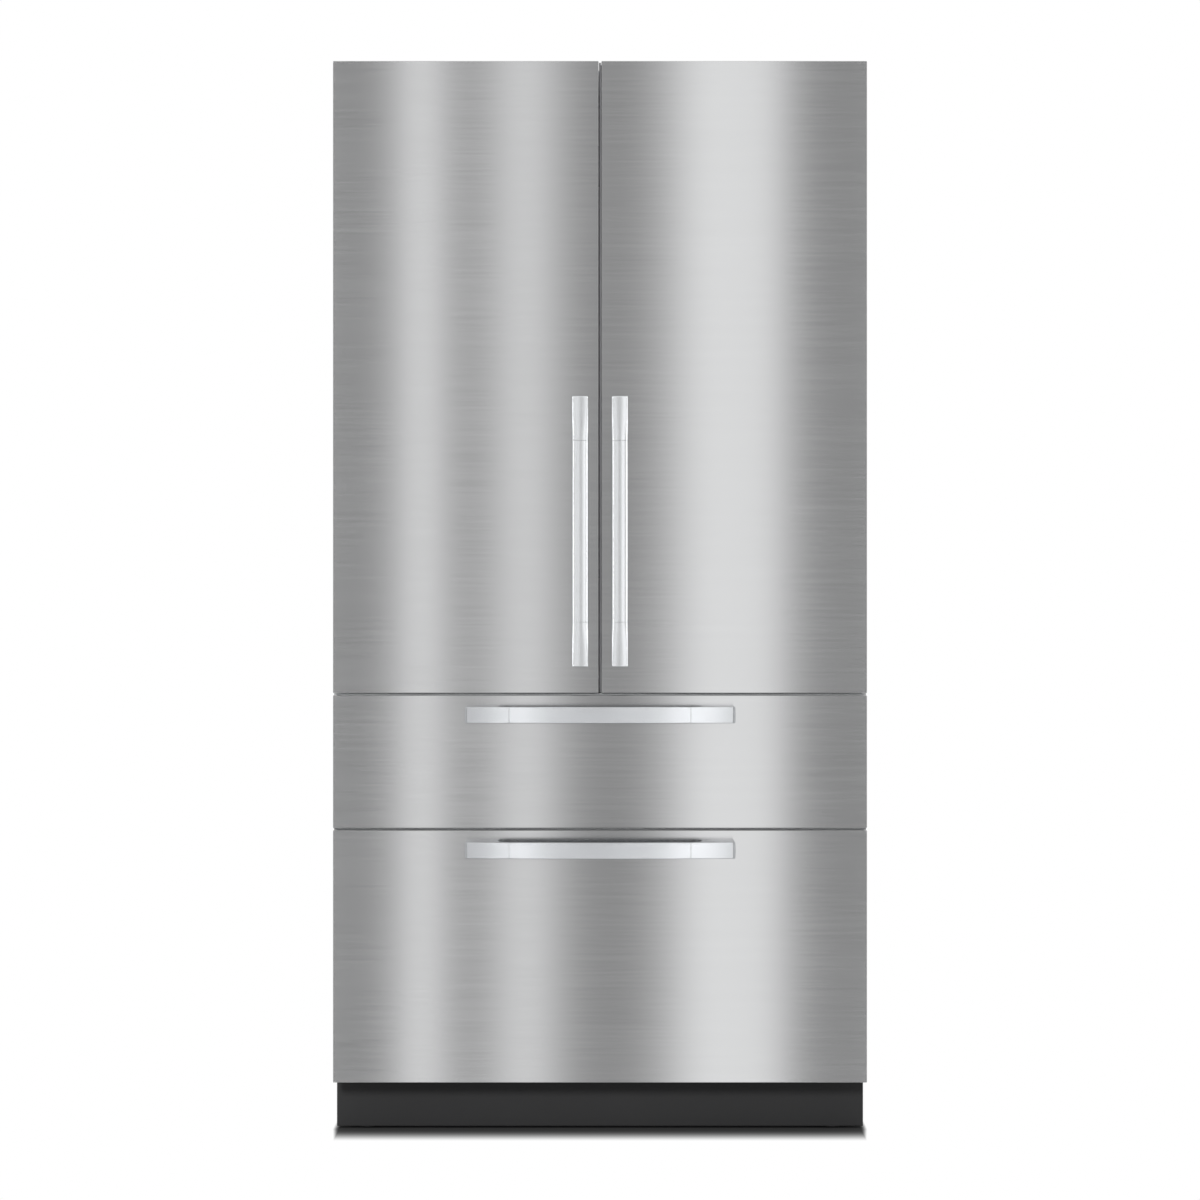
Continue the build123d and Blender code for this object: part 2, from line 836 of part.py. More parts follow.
# Guide on the ceiling that turns the mullion as the left door closes
def mullion_guide():
    x0 = mullion_pivot_x - cam_radius - cam_clearance - guide_wall
    x1 = mullion_pivot_x + cam_arm + cam_radius + cam_clearance + guide_wall
    y0 = mullion_pivot_y - cam_radius - cam_clearance
    y1 = mullion_pivot_y + cam_arm + cam_radius + cam_clearance + guide_wall
    z0 = fridge_z1 - guide_drop
    shape = block(x0, x1, y0, y1, z0, fridge_z1 + liner_wall)
    shape = chamfer(shape.edges().filter_by(Axis.Z), guide_wall)
    swing = cam_radius + cam_clearance
    ring = rod(mullion_pivot_x, mullion_pivot_y, z0, fridge_z1, cam_arm + swing)
    ring = ring - rod(mullion_pivot_x, mullion_pivot_y, z0, fridge_z1, cam_arm - swing)
    far = cam_arm + 2 * swing
    quarter = block(mullion_pivot_x, mullion_pivot_x + far, y0, mullion_pivot_y + far, z0, fridge_z1)
    start = rod(mullion_pivot_x, mullion_pivot_y + cam_arm, z0, fridge_z1, swing)
    left = mullion_pivot_x - swing
    strip = block(left, mullion_pivot_x + cam_drift + cam_radius, y0, mullion_pivot_y + cam_arm, z0, fridge_z1)
    return shape - (ring & quarter) - start - strip


# Liners: rooms that are open to the front
def room_box(z0, z1, grow, corner):
    half = room_half + grow
    shape = block(-half, half, face_y, liner_back_y + grow, z0 - grow, z1 + grow)
    return chamfer(shape.edges().filter_by(Axis.Y), corner)


def freezer_shape(grow, corner):
    z0, z1 = freezer_z0 - grow, freezer_z1 + grow
    y_step, y_back = step_y + grow, liner_back_y + grow
    z_step = step_z - grow
    outline = [(face_y, z0), (y_step, z0), (y_step, z_step), (y_back, z_step), (y_back, z1), (face_y, z1)]
    half = room_half + grow
    shape = prism(outline, -half, half, "x")
    edges = [e for e in shape.edges().filter_by(Axis.Y) if abs(e.center().Z - step_z) > 2 * liner_corner]
    return chamfer(edges, corner)


def fridge_liner():
    inner_corner = liner_corner - liner_wall * (2 - sqrt(2))
    shape = room_box(fridge_z0, fridge_z1, liner_wall, liner_corner)
    shape = shape - room_box(fridge_z0, fridge_z1, 0, inner_corner)
    ledge = block(
        room_half - ledge_reach,
        room_half + liner_wall / 2,
        crisper_front_y,
        liner_back_y - liner_corner,
        cover_z - ledge_height,
        cover_z,
    )
    for piece in both_sides(ledge):
        shape = shape + piece
    return shape + mullion_guide()


def chill_liner():
    inner_corner = liner_corner - liner_wall * (2 - sqrt(2))
    shape = room_box(chill_z0, chill_z1, liner_wall, liner_corner)
    return shape - room_box(chill_z0, chill_z1, 0, inner_corner)


def freezer_liner():
    inner_corner = liner_corner - liner_wall * (2 - sqrt(2))
    return freezer_shape(liner_wall, liner_corner) - freezer_shape(0, inner_corner)


# Steel face rail between two rooms, with returns into the foam
def face_rail(z0, z1, lap_low, lap_high):
    low = z0 + (liner_wall if lap_low else 0)
    high = z1 - (liner_wall if lap_high else 0)
    plate_low = z0 + (rail_lap if lap_low else 0)
    plate_high = z1 - (rail_lap if lap_high else 0)
    deep = face_y + rail_return
    outline = [
        (cabinet_front_y, plate_low),
        (face_y, plate_low),
        (face_y, low),
        (deep, low),
        (deep, low + steel),
        (face_y, low + steel),
        (face_y, high - steel),
        (deep, high - steel),
        (deep, high),
        (face_y, high),
        (face_y, plate_high),
        (cabinet_front_y, plate_high),
    ]
    if not lap_low:
        outline = outline[:1] + outline[3:]
    half = room_half + rail_lap
    return prism(outline, -half, half, "x")


def face_rails():
    bottom = face_rail(cabinet_floor_z, freezer_z0, False, True)
    lower = face_rail(freezer_z1, chill_z0, True, True)
    upper = face_rail(chill_z1, fridge_z0, True, True)
    return [bottom, lower, upper]


# Outer steel: sides with front and back returns, top, back and machine bulkhead
def outer_shell():
    flange_x = room_half + rail_lap
    side = [
        (cabinet_half, cabinet_front_y),
        (cabinet_half, back_y),
        (cabinet_half - back_flange, back_y),
        (cabinet_half - back_flange, inner_back_y),
        (foam_half, inner_back_y),
        (foam_half, face_y),
        (flange_x, face_y),
        (flange_x, cabinet_front_y),
    ]
    sides = both_sides(prism(side, shell_bottom_z, foam_top_z, "z"))
    top = block(-cabinet_half, cabinet_half, cabinet_front_y, back_y, foam_top_z, cabinet_top_z)
    brow = block(-flange_x, flange_x, cabinet_front_y, face_y, fridge_z1 + rail_lap, foam_top_z)
    back_half = cabinet_half - back_flange
    back = block(-back_half, back_half, inner_back_y, back_y, machine_top_z, foam_top_z)
    y0 = machine_front_y - steel
    bulkhead = [
        (y0, cabinet_floor_z),
        (machine_front_y, cabinet_floor_z),
        (machine_front_y, machine_top_z),
        (inner_back_y, machine_top_z),
        (inner_back_y, machine_top_z + steel),
        (y0, machine_top_z + steel),
    ]
    return [*sides, top + brow, back, prism(bulkhead, -foam_half, foam_half, "x")]


def foam_body(rails):
    y0 = machine_front_y - steel
    outline = [
        (face_y, cabinet_floor_z),
        (y0, cabinet_floor_z),
        (y0, machine_top_z + steel),
        (inner_back_y, machine_top_z + steel),
        (inner_back_y, foam_top_z),
        (face_y, foam_top_z),
    ]
    shape = prism(outline, -foam_half, foam_half, "x")
    shape = shape - room_box(fridge_z0, fridge_z1, liner_wall, liner_corner)
    shape = shape - room_box(chill_z0, chill_z1, liner_wall, liner_corner)
    shape = shape - freezer_shape(liner_wall, liner_corner)
    for rail in rails:
        shape = shape - rail
    return shape


# Pressed base frame with leg nuts and roller brackets
def base_frame():
    half = foam_half
    top = cabinet_floor_z
    floor_y = machine_front_y - steel
    plate = block(-half, half, face_y, floor_y, top - base_sheet, top)
    machine_floor = block(-half, half, floor_y, inner_back_y, machine_floor_z, machine_floor_z + base_sheet)
    riser = block(-half, half, floor_y, machine_front_y, machine_floor_z, top)
    shape = plate + machine_floor + riser
    s = channel_sheet
    inner = half - channel_width
    channel = [
        (half, shell_bottom_z),
        (half, machine_floor_z),
        (half - s, machine_floor_z),
        (half - s, shell_bottom_z + s),
        (inner, shell_bottom_z + s),
        (inner, shell_bottom_z),
    ]
    for piece in both_sides(prism(channel, face_y, inner_back_y, "y")):
        shape = shape + piece
    gusset = block(half - s, half, face_y, floor_y, machine_floor_z, top)
    for piece in both_sides(gusset):
        shape = shape + piece
    rear = face_y + front_channel_depth
    shape = shape + block(-half, half, face_y, face_y + s, nut_bottom_z, top)
    shape = shape + block(-half, half, face_y, rear, nut_bottom_z, nut_bottom_z + s)
    shape = shape + block(-half, half, rear - s, rear, nut_bottom_z, top)
    bore = stud_radius + stud_clearance
    for x in (-leg_x, leg_x):
        nut = Pos(x, leg_y, nut_bottom_z) * extrude(RegularPolygon(nut_radius, 6), nut_height)
        shape = shape + nut - rod(x, leg_y, nut_bottom_z, nut_bottom_z + nut_height, bore)
    reach = roller_width / 2 + roller_gap
    axle_bore = axle_radius + axle_clearance
    for x in (-roller_x, roller_x):
        for side in (-1, 1):
            start = x + side * reach
            end = start + side * bracket_sheet
            y0, y1 = roller_y - bracket_half, roller_y + bracket_half
            ear = block(start, end, y0, y1, bracket_low_z, machine_floor_z)
            ear = chamfer(ear.edges().filter_by(Axis.X).sort_by(Axis.Z)[:2], bracket_chamfer)
            shape = shape + (ear - rod_x(roller_y, roller_radius, start, end, axle_bore))
    return shape


def rear_rollers():
    reach = roller_width / 2 + roller_gap + 2 * bracket_sheet
    shape = rod_x(roller_y, roller_radius, -roller_x - reach, roller_x + reach, axle_radius)
    for x in (-roller_x, roller_x):
        half = roller_width / 2
        shape = shape + facet_bar(roller_y, roller_radius, roller_radius, x - half, x + half, "x", wheel_sides)
    return shape


def levelling_leg(x):
    pad = Pos(x, leg_y, 0) * extrude(RegularPolygon(leg_pad_radius, leg_pad_sides), leg_pad_height)
    hexagon = Pos(x, leg_y, leg_pad_height) * extrude(RegularPolygon(nut_radius, 6), leg_pad_height)
    return pad + hexagon + rod(x, leg_y, 0, stud_top_z, stud_radius)


# Toe kick, a shallow pan hooked in front of the base
def toe_kick():
    y0 = panel_front_y + toe_recess
    y1 = y0 + toe_depth
    z0, z1 = toe_bottom_z, toe_height - toe_top_gap
    shape = block(-cabinet_half, cabinet_half, y0, y1, z0, z1)
    t = toe_sheet
    return shape - block(-cabinet_half + t, cabinet_half - t, y0 + t, y1, z0, z1 - t)


# Telescopic slide members, nested channels that open towards the drawer
def slide_stack():
    return 3 * slide_sheet + 2 * slide_gap + slide_flange


def channel_member(web_x, half, flange, centre_z, inward):
    t = slide_sheet
    tip = web_x - inward * flange
    inside = web_x - inward * t
    z0, z1 = centre_z - half, centre_z + half
    outline = [
        (web_x, z0),
        (web_x, z1),
        (tip, z1),
        (tip, z1 - t),
        (inside, z1 - t),
        (inside, z0 + t),
        (tip, z0 + t),
        (tip, z0),
    ]
    return prism(outline, slide_start_y, slide_end_y, "y")


outer_web_x = room_half
middle_web_x = outer_web_x - slide_sheet - slide_gap
inner_open_x = middle_web_x - slide_sheet - slide_gap
frame_x = inner_open_x - slide_flange


def outer_member(z):
    return channel_member(outer_web_x, slide_outer_half, slide_flange, z, 1)


def middle_member(z):
    return channel_member(middle_web_x, slide_middle_half, slide_flange, z, 1)


def inner_member(z):
    return channel_member(frame_x, slide_inner_half, slide_flange, z, -1)


# Drawer frame: side plates on the inner slide members with flanges for the bin
def upper_frame():
    z0 = upper_slide_z - upper_frame_height / 2
    z1 = z0 + upper_frame_height
    t, f = frame_sheet, frame_flange
    y0 = body_back_y
    y1 = liner_back_y - upper_frame_back_gap
    side = block(frame_x - t, frame_x, y0, y1, z0, z1)
    side = side + block(frame_x - f, frame_x - t, y0, y1, z0, z0 + t)
    side = side + block(frame_x - f, frame_x - t, y0, y0 + t, z0, z1)
    return both_sides(side) + both_sides(inner_member(upper_slide_z))


def lower_frame():
    t, f = frame_sheet, frame_flange
    y0 = body_back_y
    y1, y2 = step_y - lower_frame_step_gap, liner_back_y - lower_frame_back_gap
    z_low, z_high = lower_frame_low_z, tray_flange_z
    z_arm = z_high - frame_arm_height
    outline = [(y0, z_low), (y1, z_low), (y1, z_arm), (y2, z_arm), (y2, z_high), (y0, z_high)]
    side = prism(outline, frame_x - t, frame_x, "x")
    side = side + block(frame_x - f, frame_x - t, y0, y1, bin_flange_z - t, bin_flange_z)
    side = side + block(frame_x - f, frame_x - t, y0, y2, z_high - t, z_high)
    side = side + block(frame_x - f, frame_x - t, y0, y0 + t, z_low, z_high)
    return both_sides(side) + both_sides(inner_member(lower_slide_z))


def upper_drawer_bin():
    half = frame_x - frame_sheet - drawer_bin_gap
    z0 = upper_slide_z - upper_frame_height / 2 + frame_sheet + bin_rest_gap
    y0 = body_back_y + plug_depth + bin_rest_gap
    span = (y0, liner_back_y - upper_bin_back_gap)
    size = (drawer_bin_wall, drawer_bin_corner, drawer_bin_taper)
    return open_bin(-half, half, *span, z0, z0 + upper_bin_height, *size, bin_lip, bin_lip_height)


def hung_bin(y0, y1, rest_z, height):
    half = frame_x - frame_flange - flange_bin_gap
    lip = frame_flange - drawer_bin_gap + flange_bin_gap
    z1 = rest_z + bin_rest_gap + bin_lip_height
    size = (drawer_bin_wall, drawer_bin_corner, drawer_bin_taper)
    return open_bin(-half, half, y0, y1, z1 - height, z1, *size, lip - frame_sheet, bin_lip_height)


def freezer_bin():
    y0 = body_back_y + plug_depth + bin_rest_gap
    return hung_bin(y0, step_y - freezer_bin_step_gap, bin_flange_z, freezer_bin_height)


def freezer_tray():
    y0 = body_back_y + plug_depth + tray_front_gap
    y1 = liner_back_y - freezer_cover_depth - tray_stop_gap - tray_travel
    return hung_bin(y0, y1, tray_flange_z, tray_height)


# Crisper drawer with runners below and a pull lip at the top front
def crisper():
    x0, x1 = crisper_centre_gap, room_half - crisper_side_gap
    y0, y1 = crisper_front_y, crisper_end_y
    z0 = fridge_z0 + crisper_runner + bin_rest_gap
    z1 = fridge_z0 + crisper_height
    shape = open_bin(x0, x1, y0, y1, z0, z1, crisper_wall, crisper_corner, crisper_taper, 0, 0)
    t, lip_z = crisper_wall, z1 - crisper_lip_height
    lip_y, lip_x0, lip_x1 = y0 - crisper_lip, x0 + crisper_corner, x1 - crisper_corner
    root_y = y0 + t / 2
    outline = [(lip_y, z1), (lip_y, lip_z), (lip_y + t, lip_z)]
    outline = outline + [(lip_y + t, z1 - t), (root_y, z1 - t), (root_y, z1)]
    shape = shape + prism(outline, lip_x0, lip_x1, "x")
    low = fridge_z0 + bin_rest_gap
    inset = 3 * crisper_corner
    half = crisper_runner / 2
    for x in (x0 + inset, x1 - inset):
        shape = shape + block(x - half, x + half, y0 + inset, y1 - inset, low, z0 + t / 2)
    return shape


# Shelf frame with a rebate for its glass, and the glass pane
def glazed_frame(x0, x1, y0, y1, z0, z1, border, nose):
    shape = block(x0, x1, y0, y1, z0, z1)
    shape = chamfer(shape.edges().filter_by(Axis.X).sort_by(Axis.Y)[:2], nose)
    b = border
    shape = shape - block(x0 + b, x1 - b, y0 + b, y1 - b, z0, z1)
    r = glass_rebate
    rebate_z = z1 - glass_thickness - glass_gap
    shape = shape - block(x0 + r, x1 - r, y0 + r, y1 - r, rebate_z, z1)
    g = r + glass_gap
    pane = block(x0 + g, x1 - g, y0 + g, y1 - g, rebate_z, rebate_z + glass_thickness)
    return shape, pane


def slot_z(index):
    return track_bottom_z + track_end + index * track_pitch


def crisper_cover():
    half = room_half - glass_gap - bin_rest_gap
    y1 = liner_back_y - bin_rest_gap
    z1 = cover_z + cover_thickness
    y0 = crisper_front_y - crisper_lip
    return glazed_frame(-half, half, y0, y1, cover_z, z1, cover_border, shelf_nose_chamfer)


# Cantilever shelf: two arms with hooks in the tracks, frame and glass
def shelf(index):
    arm_top = slot_z(index + 1) + hook_height
    y1 = liner_back_y - track_depth
    x0, x1 = shelf_centre_gap, track_side_x + track_centre_x - shelf_centre_gap
    z0 = arm_top
    y0, z1 = shelf_front_y, z0 + shelf_thickness
    frame, pane = glazed_frame(x0, x1, y0, y1 - bin_rest_gap, z0, z1, shelf_border, shelf_nose_chamfer)
    arms = []
    tip_y = shelf_front_y + 2 * shelf_border
    outline = [
        (y1, arm_top),
        (tip_y, arm_top),
        (tip_y, arm_top - arm_tip_height),
        (y1, arm_top - track_pitch - arm_heel_drop),
    ]
    for x in (track_centre_x, track_side_x):
        half = arm_sheet / 2
        arm = prism(outline, x - half, x + half, "x")
        for hook in (index, index + 1):
            z = slot_z(hook)
            low = z - hook_height / 2
            arm = arm + block(x - half, x + half, y1, y1 + hook_depth, low, low + hook_height)
        arms.append(arm)
    return frame, pane, arms


def shelf_track(x):
    half = track_width / 2
    t = track_sheet
    y0, y1 = liner_back_y - track_depth, liner_back_y
    shape = block(x - half, x + half, y0, y1, track_bottom_z, track_top_z)
    shape = shape - block(x - half + t, x + half - t, y0 + t, y1, track_bottom_z, track_top_z)
    w, h = track_slot_width / 2, track_slot_height / 2
    for index in range(track_slots):
        z = slot_z(index)
        shape = shape - block(x - w, x + w, y0, y0 + t, z - h, z + h)
    return shape


# Fin and tube coil: comb of fins on a web, end plates and return bends
def finned_coil(length, depth, height, rows, fin_pitch):
    count = int(length / fin_pitch)
    pitch = length / count
    half_web, half_depth = coil_web / 2, depth / 2
    points = []
    for index in range(count):
        start = -length / 2 + index * pitch
        points.append((start, half_web))
        points.append((start + pitch - fin_thickness, half_web))
        points.append((start + pitch - fin_thickness, half_depth))
        points.append((start + pitch, half_depth))
    lower = [(-x, -y) for x, y in points]
    shape = prism(points + lower, -height / 2, height / 2, "z")
    for side in (-1, 1):
        plate_x = side * (length / 2 + end_plate / 2)
        shape = shape + Pos(plate_x, 0, 0) * Box(end_plate, depth, height)
    outer = length / 2 + end_plate
    levels = [(index - (rows - 1) / 2) * tube_pitch for index in range(rows)]
    for index in range(rows - 1):
        side = 1 if index % 2 == 0 else -1
        middle = (levels[index] + levels[index + 1]) / 2
        turn = Rot(0, 0, 0) if side == 1 else Rot(0, 0, 180)
        shape = shape + Pos(side * (outer - end_plate / 2), 0, middle) * turn * return_bend()
    return shape


# Return bend of a coil, from x = 0 outwards in the XZ plane
def return_bend():
    far = tube_stub + end_plate / 2
    half = tube_radius

    def arch(radius):
        tip = (far + radius, -half, 0)
        wire = Wire(
            [
                Edge.make_line((0, -half, -radius), (far, -half, -radius)),
                Edge.make_three_point_arc((far, -half, -radius), tip, (far, -half, radius)),
                Edge.make_line((far, -half, radius), (0, -half, radius)),
                Edge.make_line((0, -half, radius), (0, -half, -radius)),
            ]
        )
        return Solid.extrude(Face(wire), Vector(0, 2 * half, 0))

    return arch(tube_pitch / 2 + half) - arch(tube_pitch / 2 - half)


# Axial fan rotor on a shaft that runs back into its motor, along +Y from y = 0
def fan_rotor(radius, blades):
    shape = facet_bar(0, 0, fan_hub_radius, 0, fan_hub_depth, "y", hub_sides)
    span = radius - fan_hub_radius / 2
    centre = fan_hub_radius / 2 + span / 2
    chord = radius * fan_chord_share
    tilt = degrees(asin(fan_blade_rise / chord))
    for index in range(blades):
        plate = Box(span, fan_blade_sheet, chord)
        tip = plate.edges().filter_by(Axis.Y).sort_by(Axis.X)[-2:]
        plate = chamfer(tip, chord / 4)
        blade = Pos(centre, 0, 0) * Rot(tilt, 0, 0) * plate
        turn = Rot(0, index * 360 / blades, 0)
        shape = shape + Pos(0, fan_hub_depth / 2, 0) * turn * blade
    return shape + rod_y(0, 0, fan_hub_depth, fan_hub_depth + fan_shaft_length, fan_shaft_radius)


# Motor on a strap, with a bore for the rotor shaft and legs forward to its carrier
def fan_mount(half_span, leg_depth):
    start = fan_hub_depth + motor_gap
    motor = facet_bar(0, 0, motor_radius, start, start + motor_depth, "y", hub_sides)
    back = start + motor_depth
    strap = block(-half_span, half_span, back - mount_sheet, back, -mount_bar / 2, mount_bar / 2)
    shape = motor + strap
    for side in (-1, 1):
        x0 = side * half_span
        leg = block(x0, x0 - side * mount_sheet, back - leg_depth, back, -mount_bar / 2, mount_bar / 2)
        shape = shape + leg
    return shape - rod_y(0, 0, start, start + fan_shaft_length, fan_shaft_radius + fan_shaft_clearance)


# Moulded cover of an evaporator with its fan hole and outlet slots
def evaporator_cover(half, z0, z1, depth, fan_z):
    y0, y1 = liner_back_y - depth, liner_back_y
    t = cover_wall
    shape = block(-half, half, y0, y1, z0, z1)
    shape = chamfer(shape.edges().filter_by(Axis.Z).sort_by(Axis.Y)[:2], cover_corner)
    hollow = block(-half + t, half - t, y0 + t, y1, z0 + t, z1 - t)
    hollow = chamfer(hollow.edges().filter_by(Axis.Z).sort_by(Axis.Y)[:2], cover_corner - t)
    shape = shape - hollow
    hole = cold_fan_radius + fan_hole_gap
    shape = shape - facet_bar(0, fan_z, hole, y0, y0 + t, "y", shell_sides)
    slot_count = int((z1 - z0 - 4 * cover_corner) / outlet_slot_pitch)
    for side in (-1, 1):
        x0, x1 = side * (hole + 4 * cover_corner), side * (half - 2 * cover_corner)
        for index in range(slot_count):
            low = z0 + 2 * cover_corner + index * outlet_slot_pitch
            shape = shape - block(x0, x1, y0, y0 + t, low, low + outlet_slot_height)
    return shape


def cold_fan_y(depth):
    return liner_back_y - depth + cover_wall + motor_gap


def cold_unit(half, z0, z1, depth, fan_z):
    cover = evaporator_cover(half, z0, z1, depth, fan_z)
    y = cold_fan_y(depth)
    leg_depth = fan_hub_depth + motor_gap + motor_depth + motor_gap
    mount = Pos(0, y, fan_z) * fan_mount(cold_fan_radius + fan_hole_gap + mount_bar, leg_depth)
    length = 2 * (half - cover_wall - coil_margin - tube_stub - tube_pitch / 2 - tube_radius)
    coil_y = liner_back_y - coil_back_gap - coil_depth / 2
    height = z1 - z0 - 2 * cover_wall - coil_margin
    rows = int(height / tube_pitch)
    room = depth - cover_wall - motor_gap - fan_hub_depth - motor_gap - motor_depth
    coil = finned_coil(length, min(coil_depth, room - 2 * coil_back_gap), height, rows, cold_fin_pitch)
    rotor = Pos(0, y, fan_z) * fan_rotor(cold_fan_radius, cold_fan_blades)
    return [cover, mount], Pos(0, coil_y, fan_z) * coil, rotor


# Solid of revolution in plain facets, from a profile of (radius, height) points
def faceted_lathe(profile, sides):
    turns = [radians(360 * index / sides) for index in range(sides)]
    rings = [[Vector(r * cos(turn), r * sin(turn), z) for turn in turns] for r, z in profile]
    faces = [Face(Wire.make_polygon(ring, close=True)) for ring in (rings[0], rings[-1])]
    for low, high in zip(rings, rings[1:]):
        for index in range(sides):
            corners = [low[index - 1], low[index], high[index], high[index - 1]]
            faces.append(Face(Wire.make_polygon(corners, close=True)))
    return Solid(Shell(faces))


# Hermetic compressor with a welded seam, feet and terminal box
def compressor():
    r, h, s = compressor_radius, compressor_height, compressor_seam
    shoulder, seam_z, dome_z = shell_shoulder, h / 2, h - shell_dome_drop
    dome = [
        (r * cos(radians(angle)), dome_z + (h - dome_z) * sin(radians(angle)))
        for angle in (0, 25, 50, 72)
    ]
    foot = [(r - shoulder, 0), (r, shoulder)]
    seam = [(r, seam_z - s), (r + s, seam_z - s), (r + s, seam_z + s), (r, seam_z + s)]
    body = faceted_lathe(foot + seam + dome, shell_sides)
    lift = grommet_height + foot_plate
    plate = Pos(0, 0, grommet_height + foot_plate / 2) * Box(foot_span_x, foot_span_y, foot_plate)
    plate = chamfer(plate.edges().filter_by(Axis.Z), grommet_radius)
    shape = Pos(0, 0, lift) * body + plate
    inset_x, inset_y = foot_span_x / 2 - grommet_radius, foot_span_y / 2 - grommet_radius
    for x in (-inset_x, inset_x):
        for y in (-inset_y, inset_y):
            grommet = extrude(RegularPolygon(grommet_radius, grommet_sides), grommet_height)
            shape = shape + Pos(x, y, 0) * grommet
    x0, x1 = -terminal_offset - terminal_width / 2, -terminal_offset + terminal_width / 2
    w = terminal_depth / 2
    shape = shape + block(x0, x1, -w, w, lift + terminal_low, lift + terminal_high)
    stub_top = lift + h + grommet_height
    shape = shape + facet_bar(stub_offset, 0, tube_radius, lift + dome_z, stub_top, "z", grommet_sides)
    y = (machine_front_y + inner_back_y) / 2
    return Pos(compressor_x, y, machine_floor_z + base_sheet) * shape


# Condenser coil with its fan shroud, the air runs along X
def condenser():
    y = (machine_front_y + inner_back_y) / 2
    floor = machine_floor_z + base_sheet
    rows = int(condenser_height / tube_pitch)
    reach = tube_stub + tube_pitch / 2 + tube_radius + end_plate
    span = inner_back_y - machine_front_y - 2 * reach - coil_margin
    coil = Rot(0, 0, 90) * finned_coil(span, condenser_length, condenser_height, rows, condenser_fin_pitch)
    centre_z = floor + condenser_lift + condenser_height / 2
    coil = Pos(condenser_x0 + condenser_length / 2, y, centre_z) * coil
    feet = []
    for x in (condenser_x0 + coil_margin, condenser_x0 + condenser_length - coil_margin):
        half = span / 2 + end_plate
        x0, x1 = x - mount_bar / 2, x + mount_bar / 2
        feet.append(block(x0, x1, y - half, y + half, floor, floor + condenser_lift))
    for foot in feet:
        coil = coil + foot
    hole = condenser_fan_radius + fan_hole_gap
    y0, y1 = machine_front_y + coil_margin / 2, inner_back_y - coil_margin / 2
    plate = block(shroud_x, shroud_x + shroud_sheet, y0, y1, floor, floor + condenser_lift + condenser_height)
    plate = plate + facet_bar(y, centre_z, hole + shroud_sheet, shroud_x, condenser_x0, "x", shell_sides)
    plate = plate - facet_bar(y, centre_z, hole, shroud_x, condenser_x0, "x", shell_sides)
    return coil, plate, y, centre_z


# Condensate pan on the machine floor
def drain_pan():
    floor = machine_floor_z + base_sheet
    y0, y1 = machine_front_y + pan_margin, inner_back_y - pan_margin
    return open_bin(pan_x0, pan_x1, y0, y1, floor, floor + pan_height, pan_wall, pan_margin, 4, 0, 0)


# Rear cover of the machine compartment with pressed louvres and inlet windows
def machine_cover():
    half = cabinet_half - back_flange
    low = machine_floor_z + base_sheet
    shape = block(-half, half, inner_back_y, back_y, low, machine_top_z)
    for x in (-louvre_x + louvre_length, louvre_x):
        for index in range(louvre_count):
            z = louvre_low_z + index * louvre_pitch
            x0, x1 = x - louvre_length / 2, x + louvre_length / 2
            shape = shape - block(x0, x1, inner_back_y, back_y, z, z + louvre_height)
            hood = [
                (inner_back_y, z + louvre_height + steel),
                (inner_back_y - louvre_depth, z + steel),
                (inner_back_y - louvre_depth, z),
                (inner_back_y, z + louvre_height),
            ]
            shape = shape + prism(hood, x0, x1, "x")
    g = valve_window_gap
    w, h = valve_width / 2 + g, valve_height / 2 + g
    window = block(inlet_x - w, inlet_x + w, inner_back_y, back_y, valve_z - h, valve_z + h)
    shape = shape - chamfer(window.edges().filter_by(Axis.Y), g / 2)
    w, h = power_width / 2, power_height / 2
    return shape - block(inlet_x - w, inlet_x + w, inner_back_y, back_y, power_z - h, power_z + h)


# Water inlet valve: solenoid, body and threaded stub, on a foot from the floor
def water_valve():
    face = back_y - valve_thread_length
    y0 = face - valve_depth
    w, h = valve_width / 2, valve_body_half
    body = block(inlet_x - w, inlet_x + w, y0, face, valve_z - h, valve_z + h)
    w, top = coil_half_width, valve_z + valve_height / 2
    coil = block(inlet_x - w, inlet_x + w, y0, y0 + coil_case_depth, valve_z, top)
    stub = rod_y(inlet_x, valve_z, face, back_y, valve_thread_radius)
    bore = facet_bar(inlet_x, valve_z, valve_bore_radius, face, back_y, "y", hub_sides)
    floor = machine_floor_z + base_sheet
    w = valve_foot_half
    foot = block(inlet_x - w, inlet_x + w, y0, y0 + mount_sheet, floor, valve_z)
    sole = block(inlet_x - w, inlet_x + w, y0, y0 + valve_sole_depth, floor, floor + mount_sheet)
    return body + coil + stub + foot + sole - bore


# Appliance power inlet, a recessed socket with three blades
def power_inlet():
    t = power_wall

    def centred(grow, y0, y1):
        w, h = power_width / 2 + grow, power_height / 2 + grow
        return block(inlet_x - w, inlet_x + w, y0, y1, power_z - h, power_z + h)

    recess = centred(-t, back_y - power_recess, back_y)
    shape = centred(0, back_y - power_depth, back_y)
    shape = shape - chamfer(recess.edges().filter_by(Axis.Y).sort_by(Axis.Z)[-2:], t)
    flange = centred(t, inner_back_y - t, inner_back_y) - centred(0, inner_back_y - t, inner_back_y)
    shape = shape + flange
    half_x, half_z = blade_thickness / 2, blade_height / 2
    for dx, dz in ((-blade_spread, -blade_rise), (blade_spread, -blade_rise), (0, blade_rise)):
        x, z = inlet_x + dx, power_z + dz
        y0, y1 = back_y - power_recess, back_y - t
        shape = shape + block(x - half_x, x + half_x, y0, y1, z - half_z, z + half_z)
    return shape


